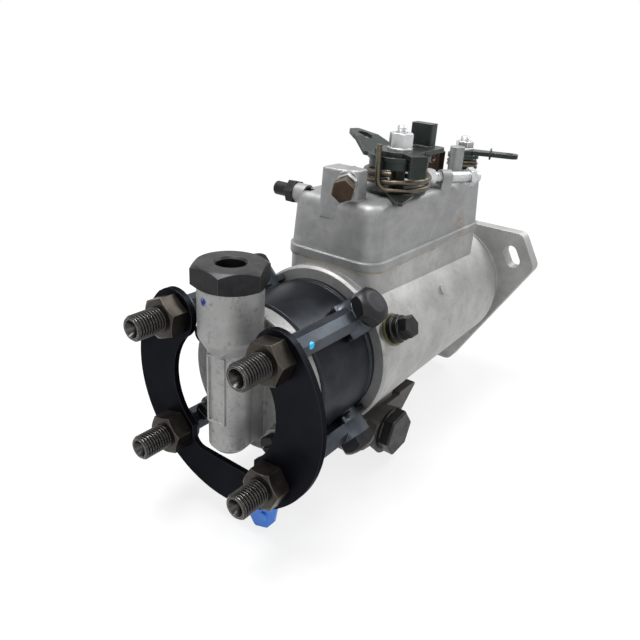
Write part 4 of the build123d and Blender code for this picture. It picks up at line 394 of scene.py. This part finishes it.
def shaft_steel():
    """Control shafts: bright threaded ends, dark below their levers as painted shade."""
    f = Finish("shaft_steel", metallic=1.0)
    cloud = f.noise(2.5, detail=4.0)
    x, y, z = f.axes()
    above_lever = z.rise(96 * MM, 98 * MM)
    edge_mask = f.edges(0.3)
    # Near-black below z 96 mm is painted shade under the lever; the zinc colour above is the shaft's own.
    colour = f.mix(above_lever, (0.03, 0.028, 0.026), (0.55, 0.56, 0.57))
    colour = f.mix(cloud * 0.4, colour, (0.10, 0.10, 0.10))
    colour = f.mix(edge_mask * 0.5, colour, (0.60, 0.60, 0.60))
    f.bump(f.noise(0.3), 0.01, 0.5)
    return f.done(colour, 0.26 + 0.18 * cloud, 0.3)


def lever_black():
    """Stamped control levers: black with a greenish-grey sheen on the flats."""
    f = Finish("lever_black", metallic=0.85, specular=0.25)
    cloud = f.noise(6.0, detail=4.0)
    rub = f.noise(1.4, detail=5.0, roughness=0.75).rise(0.58, 0.74)
    edge_mask = f.edges(0.3)
    colour = f.mix(cloud, (0.016, 0.020, 0.018), (0.045, 0.055, 0.050))
    colour = f.mix(rub * 0.5, colour, (0.12, 0.13, 0.12))
    colour = f.mix(edge_mask * 0.6, colour, (0.24, 0.24, 0.22))
    f.bump(f.noise(0.3), 0.015, 0.6)
    return f.done(colour, 0.32 + 0.15 * cloud, 0.3)


def dark_casting():
    """Iron advance body: dark grey-brown skin with a rusty bloom."""
    f = Finish("dark_casting", metallic=0.45)
    skin = f.noise(0.7, detail=4.0, roughness=0.65)
    cloud = f.noise(8.0, detail=4.0)
    rust = f.noise(3.0, detail=6.0, roughness=0.7, distortion=0.8).rise(0.50, 0.70)
    near = f.spot((25.0, -88.0, -45.0), 4.0, 18.0)
    edge_mask = f.edges(0.5)
    colour = f.mix(cloud, (0.035, 0.033, 0.030), (0.11, 0.104, 0.095))
    colour = f.mix(rust * (0.2 + 0.6 * near), colour, (0.14, 0.075, 0.04))
    colour = f.mix(edge_mask * 0.5, colour, (0.24, 0.23, 0.21))
    f.bump(skin, 0.10, 0.9)
    f.bump(f.noise(3.0), 0.2, 0.4)
    return f.done(colour, 0.48 + 0.2 * skin, 0.7)


def rubber():
    """Moulded nitrile."""
    f = Finish("nitrile_rubber", specular=0.35)
    cloud = f.noise(3.0, detail=3.0)
    f.bump(f.noise(0.3), 0.02, 0.5)
    return f.done(f.mix(cloud, (0.012, 0.012, 0.012), (0.03, 0.03, 0.03)), 0.5 + 0.2 * cloud, 0.3)


def olive_washer():
    """Olive chromated steel ring with a bonded seal."""
    f = Finish("olive_washer", metallic=0.75)
    cloud = f.noise(2.0, detail=4.0)
    colour = f.mix(cloud, (0.10, 0.095, 0.045), (0.25, 0.23, 0.12))
    f.bump(f.noise(0.3), 0.02, 0.5)
    return f.done(colour, 0.35 + 0.2 * cloud, 0.25)


def gasket():
    """Pressed fibre gasket, oil-darkened at its edge."""
    f = Finish("fibre_gasket", specular=0.2)
    fibre = f.noise(0.4, detail=4.0, stretch=(1.0, 0.4, 1.0))
    oil = f.noise(9.0, detail=4.0).rise(0.45, 0.7)
    colour = f.mix(fibre, (0.34, 0.27, 0.18), (0.52, 0.43, 0.30))
    colour = f.mix(oil * 0.6, colour, (0.16, 0.12, 0.08))
    f.bump(fibre, 0.05, 0.8)
    return f.done(colour, 0.75 + 0.15 * fibre, 0.2)


def blue_plastic():
    """Injection moulded tag, translucent blue look."""
    f = Finish("blue_plastic", coat=0.2, coat_roughness=0.25)
    cloud = f.noise(4.0, detail=3.0)
    f.bump(f.noise(0.8), 0.03, 0.5)
    return f.done(f.mix(cloud, (0.01, 0.13, 0.55), (0.02, 0.22, 0.78)), 0.32 + 0.15 * cloud, 0.3)


BLUE_DOT = ((36.7, -215.6, 32.6), 1.9, (0.05, 0.42, 0.72))
finishes = {
    "housing": blasted_aluminium(),
    "cover": cast_aluminium(),
    "tower": tower_aluminium(),
    "head": blued_steel("black_head", (0.020, 0.022, 0.026), (0.036, 0.040, 0.046)),
    "arm": blued_steel("black_arm", (0.040, 0.046, 0.054), (0.078, 0.088, 0.102), (BLUE_DOT,)),
    "ring": ring_black(),
    # Union edge colour near white: painted highlight on thread crests and cone rims, partly rubbed wear.
    "union": phosphate(
        "union_phosphate", (0.011, 0.010, 0.010), (0.085, 0.082, 0.079), (0.80, 0.79, 0.77), 0.14),
    "nut": phosphate(
        "nut_phosphate", (0.022, 0.019, 0.016), (0.075, 0.066, 0.056), (0.34, 0.31, 0.27), 0.26),
    "black": phosphate(
        "black_phosphate", (0.012, 0.012, 0.013), (0.040, 0.040, 0.042), (0.20, 0.20, 0.20), 0.3),
    "brown": phosphate(
        "brown_phosphate", (0.028, 0.018, 0.013), (0.095, 0.066, 0.046), (0.33, 0.27, 0.22), 0.26),
    "zinc": zinc(),
    "spring": spring_wire("tempered_wire", (0.045, 0.038, 0.028), (0.16, 0.137, 0.102)),
    "inner_spring": spring_wire("bright_wire", (0.35, 0.34, 0.32), (0.55, 0.54, 0.52)),
    "ground": ground_steel(),
    "shaft": shaft_steel(),
    "lever": lever_black(),
    "advance": dark_casting(),
    "rubber": rubber(),
    "washer": olive_washer(),
    "gasket": gasket(),
    "blue": blue_plastic(),
}

worn_by = {
    "housing": ("pump_housing",),
    "cover": ("governor_cover",),
    "tower": ("end_plate",),
    "head": ("hydraulic_head",),
    "ring": ("outlet_clamp_ring",),
    "arm": ("outlet_adaptors",),
    "nut": ("outlet_nuts",),
    "black": ("banjo_bolts", "head_lock_screws", "end_plate_screws", "inlet_adaptor", "backleak_union",
              "advance_studs", "advance_end_plugs", "cover_bolts"),
    "brown": ("idle_stop_screw", "stop_block"),
    "zinc": ("throttle_nut", "shutoff_nut", "max_speed_screw", "stop_lock_nuts"),
    "spring": ("throttle_spring", "shutoff_spring"),
    "shaft": ("throttle_shaft", "shutoff_shaft"),
    "inner_spring": ("governor_spring", "advance_spring"),
    "lever": ("throttle_lever", "throttle_stop_plate", "spring_seat_plate", "shutoff_lever"),
    "advance": ("advance_housing",),
    "rubber": ("drive_seal",),
    "washer": ("head_lock_washers",),
    "gasket": ("cover_gasket",),
    "blue": ("blue_tag",),
}
finish_of = {node: finish for finish, nodes in worn_by.items() for node in nodes}
for name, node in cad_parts.items():
    material = finishes[finish_of.get(name, "ground")]
    if not node.material_slots:
        node.data.materials.append(material)
    for each in node.material_slots:
        each.material = material


# Geometry trees

class Recipe(Graph):
    """A Geometry Nodes tree with named inputs, run once and turned into plain mesh."""

    def __init__(self, name, inputs):
        tree = bpy.data.node_groups.new(name, "GeometryNodeTree")
        super().__init__(tree)
        self.sockets = {}
        for label, kind in inputs.items():
            made = tree.interface.new_socket(name=label, in_out="INPUT", socket_type=kind)
            self.sockets[label] = made.identifier
        tree.interface.new_socket(name="Geometry", in_out="OUTPUT", socket_type="NodeSocketGeometry")
        self.given = self.node("NodeGroupInput")

    def put(self, label):
        return self.given.value(label)

    def finish(self, geometry):
        real = self.node("GeometryNodeRealizeInstances", None, {0: geometry})
        dressed = {"Geometry": real.value(0), "Material": self.put("Finish")}
        coat = self.node("GeometryNodeSetMaterial", None, dressed)
        self.node("NodeGroupOutput", None, {0: coat.value(0)})

    def mesh(self, name, **values):
        """The tree's result as an object at the origin; sizes are in millimetres."""
        carrier = bpy.data.objects.new(name, bpy.data.meshes.new(name))
        bpy.context.scene.collection.objects.link(carrier)
        modifier = carrier.modifiers.new("recipe", "NODES")
        modifier.node_group = self.tree
        for label, given in values.items():
            modifier[self.sockets[label]] = given
        bpy.context.view_layer.update()
        graph = bpy.context.evaluated_depsgraph_get()
        made = bpy.data.meshes.new_from_object(carrier.evaluated_get(graph))
        carrier.modifiers.clear()
        carrier.data = made
        return carrier


def set_place(graph, geometry, place):
    return graph.node("GeometryNodeSetPosition", None, {"Geometry": geometry, "Position": place}).value(0)


def thread_recipe():
    """A helical thread along +Z, its crest cut away towards the free end by a chamfer."""
    g = Recipe("thread", {
        "Finish": "NodeSocketMaterial",
        "Crest": "NodeSocketFloat",
        "Root": "NodeSocketFloat",
        "Pitch": "NodeSocketFloat",
        "Length": "NodeSocketFloat",
        "Chamfer": "NodeSocketFloat",
        "Sides": "NodeSocketInt",
        "Rows": "NodeSocketInt",
    })
    grid = g.node("GeometryNodeMeshGrid", None, {"Size X": 1.0, "Size Y": 1.0})
    g.tree.links.new(g.put("Sides").socket, grid.node.inputs["Vertices X"])
    g.tree.links.new(g.put("Rows").socket, grid.node.inputs["Vertices Y"])
    split = g.node("ShaderNodeSeparateXYZ", None, {0: g.node("GeometryNodeInputPosition").value(0)})
    around = split.value(0) + 0.5
    along = (split.value(1) + 0.5) * g.put("Length")
    phase = (along / g.put("Pitch") - around).math("FRACT")
    flank = 1.0 - (2.0 * phase - 1.0).math("ABSOLUTE")
    ridge = ((flank - 0.12) / 0.70).within()
    depth = g.put("Crest") - g.put("Root")
    radius = g.put("Root") + depth * ridge
    limit = g.put("Crest") - g.put("Chamfer") + (g.put("Length") - along)
    radius = radius.math("MINIMUM", limit)
    angle = around * math.tau
    place = g.vector(radius * angle.math("COSINE"), radius * angle.math("SINE"), along)
    bent = set_place(g, grid.value("Mesh"), place)
    joined = g.node("GeometryNodeMergeByDistance", None, {"Geometry": bent, "Distance": 0.00001}).value(0)
    smooth = g.node("GeometryNodeSetShadeSmooth", None, {"Geometry": joined, "Shade Smooth": True}).value(0)
    g.finish(smooth)
    return g


def ring_of_recipe():
    """One object repeated evenly on a circle in the XZ plane."""
    g = Recipe("ring_of", {
        "Finish": "NodeSocketMaterial",
        "Piece": "NodeSocketObject",
        "Radius": "NodeSocketFloat",
        "Count": "NodeSocketInt",
        "First": "NodeSocketFloat",
    })
    circle = g.node("GeometryNodeMeshCircle", {"fill_type": "NONE"}, {"Radius": g.put("Radius")})
    g.tree.links.new(g.put("Count").socket, circle.node.inputs["Vertices"])
    turn = g.vector(g.number(math.pi / 2), 0.0, g.number(0.0))
    stood = g.node("GeometryNodeTransform", None, {"Geometry": circle.value(0), "Rotation": turn}).value(0)
    roll = g.vector(g.number(0.0), g.put("First"), g.number(0.0))
    rolled = g.node("GeometryNodeTransform", None, {"Geometry": stood, "Rotation": roll}).value(0)
    piece = g.node("GeometryNodeObjectInfo", None, {"Object": g.put("Piece")}).value("Geometry")
    spread = g.node("GeometryNodeInstanceOnPoints", None, {"Points": rolled, "Instance": piece}).value(0)
    g.finish(spread)
    return g


THREAD = thread_recipe()
RING_OF = ring_of_recipe()


# Mesh helpers

def link(name, mesh):
    piece = bpy.data.objects.new(name, mesh)
    bpy.context.scene.collection.objects.link(piece)
    return piece


def put_at(piece, matrix):
    """Writes a placement into the mesh, so the object stays at the origin."""
    piece.data.transform(matrix)
    if matrix.determinant() < 0:
        piece.data.flip_normals()
    return piece


def towards(origin, direction):
    """A placement with +Z along direction, in millimetres for the origin."""
    turn = Vector(direction).to_track_quat("Z", "Y").to_matrix().to_4x4()
    return Matrix.Translation(Vector(origin) * MM) @ turn


def turned_part(name, outline, finish, sides=48):
    """A lathe part about Z from (radius, height) pairs in millimetres, listed from bottom to top."""
    shape = bmesh.new()
    rings = []
    for radius, height in outline:
        if radius == 0:
            rings.append([shape.verts.new((0, 0, height * MM))])
            continue
        ring = []
        for k in range(sides):
            a = math.tau * k / sides
            ring.append(shape.verts.new((radius * MM * math.cos(a), radius * MM * math.sin(a), height * MM)))
        rings.append(ring)
    for low, high in zip(rings, rings[1:]):
        for k in range(sides):
            n = (k + 1) % sides
            if len(low) == 1:
                shape.faces.new((low[0], high[n], high[k]))
            elif len(high) == 1:
                shape.faces.new((low[k], low[n], high[0]))
            else:
                shape.faces.new((low[k], low[n], high[n], high[k]))
    if len(rings[0]) > 1:
        shape.faces.new(rings[0][::-1])
    if len(rings[-1]) > 1:
        shape.faces.new(rings[-1])
    mesh = bpy.data.meshes.new(name)
    shape.to_mesh(mesh)
    shape.free()
    mesh.shade_smooth()
    mesh.set_sharp_from_angle(angle=math.radians(28))
    mesh.materials.append(finish)
    return link(name, mesh)


def joined(name, pieces):
    """Several placed objects as one."""
    shape = bmesh.new()
    materials = []
    for piece in pieces:
        mesh = piece.data
        for material in mesh.materials:
            if material not in materials:
                materials.append(material)
        first = len(shape.faces)
        shape.from_mesh(mesh)
        shape.faces.ensure_lookup_table()
        for face in shape.faces[first:]:
            face.material_index = materials.index(mesh.materials[face.material_index])
    mesh = bpy.data.meshes.new(name)
    shape.to_mesh(mesh)
    shape.free()
    for material in materials:
        mesh.materials.append(material)
    for piece in pieces:
        bpy.data.objects.remove(piece)
    return link(name, mesh)


def copy_of(node, name):
    """A CAD node's mesh as a new piece, its loose triangles merged."""
    shape = bmesh.new()
    shape.from_mesh(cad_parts[node].data)
    bmesh.ops.remove_doubles(shape, verts=shape.verts, dist=1e-6)
    mesh = bpy.data.meshes.new(name)
    shape.to_mesh(mesh)
    shape.free()
    mesh.materials.append(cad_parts[node].material_slots[0].material)
    return link(name, mesh)


def cut_away(piece, point, normal):
    """Removes what lies on the normal's side of a plane and closes the cut."""
    shape = bmesh.new()
    shape.from_mesh(piece.data)
    every = shape.verts[:] + shape.edges[:] + shape.faces[:]
    bmesh.ops.bisect_plane(shape, geom=every, plane_co=Vector(point) * MM, plane_no=normal, clear_outer=True)
    shape.to_mesh(piece.data)
    shape.free()
    return piece


# Outlets: the solids end inside the nuts, threaded ends with cone seats take over

UNION_END_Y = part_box("outlet_adaptors")[0][1] / MM
NUT_FRONT_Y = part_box("outlet_nuts")[0][1] / MM
OUTLET_HALF = 31.0
STEM_IN_NUT = 2.0
STEM_CREST = 6.0
STEM_ROOT = 5.0
STEM_PITCH = 1.5
STEM_CHAMFER = 1.0
CONE_MOUTH_R = 4.2
CONE_DEPTH = 5.0
BORE_R = 1.3
BORE_DEPTH = 8.0
stem_start = NUT_FRONT_Y + STEM_IN_NUT
stem_length = stem_start - UNION_END_Y
bodies = cut_away(copy_of("outlet_adaptors", "outlet_bodies"), (0, stem_start, 0), (0, -1, 0))
bodies.data.shade_smooth()
bodies.data.set_sharp_from_angle(angle=math.radians(25))
stem = THREAD.mesh(
    "stem_thread", Finish=finishes["union"], Crest=STEM_CREST * MM, Root=STEM_ROOT * MM,
    Pitch=STEM_PITCH * MM, Length=stem_length * MM, Chamfer=STEM_CHAMFER * MM, Sides=65,
    Rows=int(stem_length / STEM_PITCH * 12),
)
seat = turned_part("stem_seat", (
    (STEM_ROOT - 0.1, 0.0),
    (STEM_ROOT, stem_length - 0.02),
    (STEM_ROOT - 0.1, stem_length),
    (CONE_MOUTH_R, stem_length),
    (BORE_R, stem_length - CONE_DEPTH),
    (BORE_R, stem_length - BORE_DEPTH),
    (0.0, stem_length - BORE_DEPTH),
), finishes["union"])
stem_one = put_at(joined("stem", (stem, seat)), Matrix.Rotation(math.pi / 2, 4, "X"))
ends = RING_OF.mesh(
    "outlet_ends", Finish=finishes["union"], Piece=stem_one, Radius=OUTLET_HALF * math.sqrt(2) * MM,
    Count=4, First=math.pi / 4,
)
bpy.data.objects.remove(stem_one)
put_at(ends, Matrix.Translation((0, stem_start * MM, 0)))
outlets = joined("outlet_unions", (bodies, ends))
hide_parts("outlet_adaptors")
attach(outlets, "housing")


# Screw threads on the studs and screws that show bare shanks; the solids are plain cylinders

THREAD_HEIGHT = 0.24


def shank_thread(name, start, direction, radius, length, pitch, finish, body):
    """A thread laid over a plain shank of a given radius; start and sizes in millimetres."""
    piece = THREAD.mesh(
        name, Finish=finishes[finish], Crest=(radius + THREAD_HEIGHT) * MM, Root=(radius - 0.1) * MM,
        Pitch=pitch * MM, Length=length * MM, Chamfer=0.5 * MM, Sides=41, Rows=int(length / pitch * 10),
    )
    put_at(piece, towards(start, direction))
    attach(piece, body)


def middle_of(node):
    low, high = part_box(node)
    return tuple((a + b) / 2 / MM for a, b in zip(low, high))


def top_of(node):
    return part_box(node)[1][2] / MM


for name, nut, shaft, radius, body in (
    ("throttle_stud_thread", "throttle_nut", "throttle_shaft", 2.3, "throttle"),
    ("shutoff_stud_thread", "shutoff_nut", "shutoff_shaft", 2.6, "shutoff"),
):
    x, y, z = middle_of(nut)
    start = top_of(nut) - 0.6
    shank_thread(name, (x, y, start), (0, 0, 1), radius, top_of(shaft) - 0.1 - start, 0.8, "zinc", body)

IDLE_AT = Vector((6.6, -153.5, 87.2))
IDLE_YAW = math.radians(25)
IDLE_DIP = 0.12
idle_level = math.sqrt(1 - IDLE_DIP ** 2)
IDLE_OUTWARDS = Vector((
    math.sin(IDLE_YAW) * idle_level,
    -math.cos(IDLE_YAW) * idle_level,
    -IDLE_DIP,
))
IDLE_HEAD = 9.0
IDLE_TIP = 17.0
SPEED_FROM = Vector((18.5, -89.0, 83.3))
SPEED_ALONG = Vector((14.5, 22.5, 0.0)).normalized()
SPEED_LENGTH = 29.8
SCREW_R = 2.88
SCREW_PITCH = 1.0
for name, origin, along, first, length, finish in (
    ("idle_thread_outside", IDLE_AT, IDLE_OUTWARDS, 4.0, IDLE_HEAD - 3.6, "brown"),
    ("idle_thread_tip", IDLE_AT, -IDLE_OUTWARDS, 11.5, IDLE_TIP - 11.6, "brown"),
    ("speed_thread_near", SPEED_FROM, SPEED_ALONG, 0.8, 4.6, "zinc"),
    ("speed_thread_far", SPEED_FROM, SPEED_ALONG, 10.8, SPEED_LENGTH - 10.9, "zinc"),
):
    start = origin + along * first
    shank_thread(name, start, along, SCREW_R, length, SCREW_PITCH, finish, "housing")


# Stage

def basis(azimuth, elevation, roll):
    back = Vector((
        math.sin(azimuth) * math.cos(elevation),
        -math.cos(azimuth) * math.cos(elevation),
        math.sin(elevation),
    ))
    right = Vector((math.cos(azimuth), math.sin(azimuth), 0.0))
    up = back.cross(right)
    c, s = math.cos(roll), math.sin(roll)
    return c * right + s * up, c * up - s * right, back


CAMERA_PLACE = (0.1752, -0.4052, 0.1506)
CAMERA_AZIMUTH = math.radians(35.5)
CAMERA_ELEVATION = math.radians(24.3)
CAMERA_ROLL = math.radians(3.79)
FOCAL_PIXELS = 629.7
FRAME_PIXELS = 640.0
lens = bpy.data.cameras.new("camera")
lens.sensor_width = 36.0
lens.lens = FOCAL_PIXELS / FRAME_PIXELS * lens.sensor_width
lens.clip_start = 0.01
camera = bpy.data.objects.new("camera", lens)
right, up, back = basis(CAMERA_AZIMUTH, CAMERA_ELEVATION, CAMERA_ROLL)
camera.matrix_world = Matrix.Translation(CAMERA_PLACE) @ Matrix((right, up, back)).transposed().to_4x4()
bpy.context.scene.collection.objects.link(camera)
bpy.context.scene.camera = camera


def soft_light(name, place, target, size, watts):
    """A square studio panel aimed at a point."""
    panel = bpy.data.lights.new(name, "AREA")
    panel.shape = "SQUARE"
    panel.size = size
    panel.energy = watts
    lamp = bpy.data.objects.new(name, panel)
    aim = (Vector(target) - Vector(place)).to_track_quat("-Z", "Y")
    lamp.matrix_world = Matrix.Translation(place) @ aim.to_matrix().to_4x4()
    bpy.context.scene.collection.objects.link(lamp)


MIDDLE = (0.0, -0.12, 0.02)
ROOM_COLOUR = (0.92, 0.95, 1.0, 1.0)
ROOM_LIGHT = 0.38
WHITE = (1.0, 1.0, 1.0, 1.0)
soft_light("key", (-0.22, -0.35, 1.25), MIDDLE, 0.6, 20.5)
soft_light("fill", (0.80, -0.95, 0.45), MIDDLE, 0.8, 2.0)
soft_light("back", (0.35, 0.75, 0.95), MIDDLE, 0.6, 8.0)


def background_rays(graph):
    """1 for the rays that should meet the white background: seen, mirrored or let through."""
    path = graph.node("ShaderNodeLightPath")
    mirrored = path.value("Is Glossy Ray").math("MAXIMUM", path.value("Is Transmission Ray"))
    return path.value("Is Camera Ray").math("MAXIMUM", mirrored)


def studio_world():
    world = bpy.data.worlds.new("studio")
    world.use_nodes = True
    g = Graph(world.node_tree)
    g.tree.nodes.clear()
    plain = g.node("ShaderNodeBackground", None, {"Color": ROOM_COLOUR, "Strength": ROOM_LIGHT}).value(0)
    white = g.node("ShaderNodeBackground", None, {"Color": WHITE, "Strength": 1.0}).value(0)
    both = g.node("ShaderNodeMixShader", None, {0: background_rays(g), 1: plain, 2: white}).value(0)
    g.node("ShaderNodeOutputWorld", None, {"Surface": both})
    bpy.context.scene.world = world


def pale_floor():
    """A plane that keeps the shadow near the part and fades into the white background further out."""
    material = bpy.data.materials.new("pale_floor")
    material.use_nodes = True
    g = Graph(material.node_tree)
    g.tree.nodes.clear()
    place = g.node("ShaderNodeTexCoord").value("Object")
    gap = g.turned("DISTANCE", place, (MIDDLE[0], MIDDLE[1], cad_box[0][2]))
    matt = g.node("ShaderNodeBsdfDiffuse", None, {"Color": (0.90, 0.90, 0.90, 1.0)}).value(0)
    glow = g.node("ShaderNodeEmission", None, {"Color": WHITE, "Strength": 1.0}).value(0)
    share = background_rays(g) * (0.80 + 0.20 * gap.rise(0.25, 1.2))
    both = g.node("ShaderNodeMixShader", None, {0: share, 1: matt, 2: glow}).value(0)
    g.node("ShaderNodeOutputMaterial", None, {"Surface": both})
    half = 6.0
    low = cad_box[0][2] - 0.5 * MM
    corners = [(-half, -half, low), (half, -half, low), (half, half, low), (-half, half, low)]
    mesh = bpy.data.meshes.new("floor")
    mesh.from_pydata(corners, [], [(0, 1, 2, 3)])
    mesh.materials.append(material)
    link("floor", mesh)


studio_world()
pale_floor()
bpy.context.scene.view_settings.view_transform = "Standard"
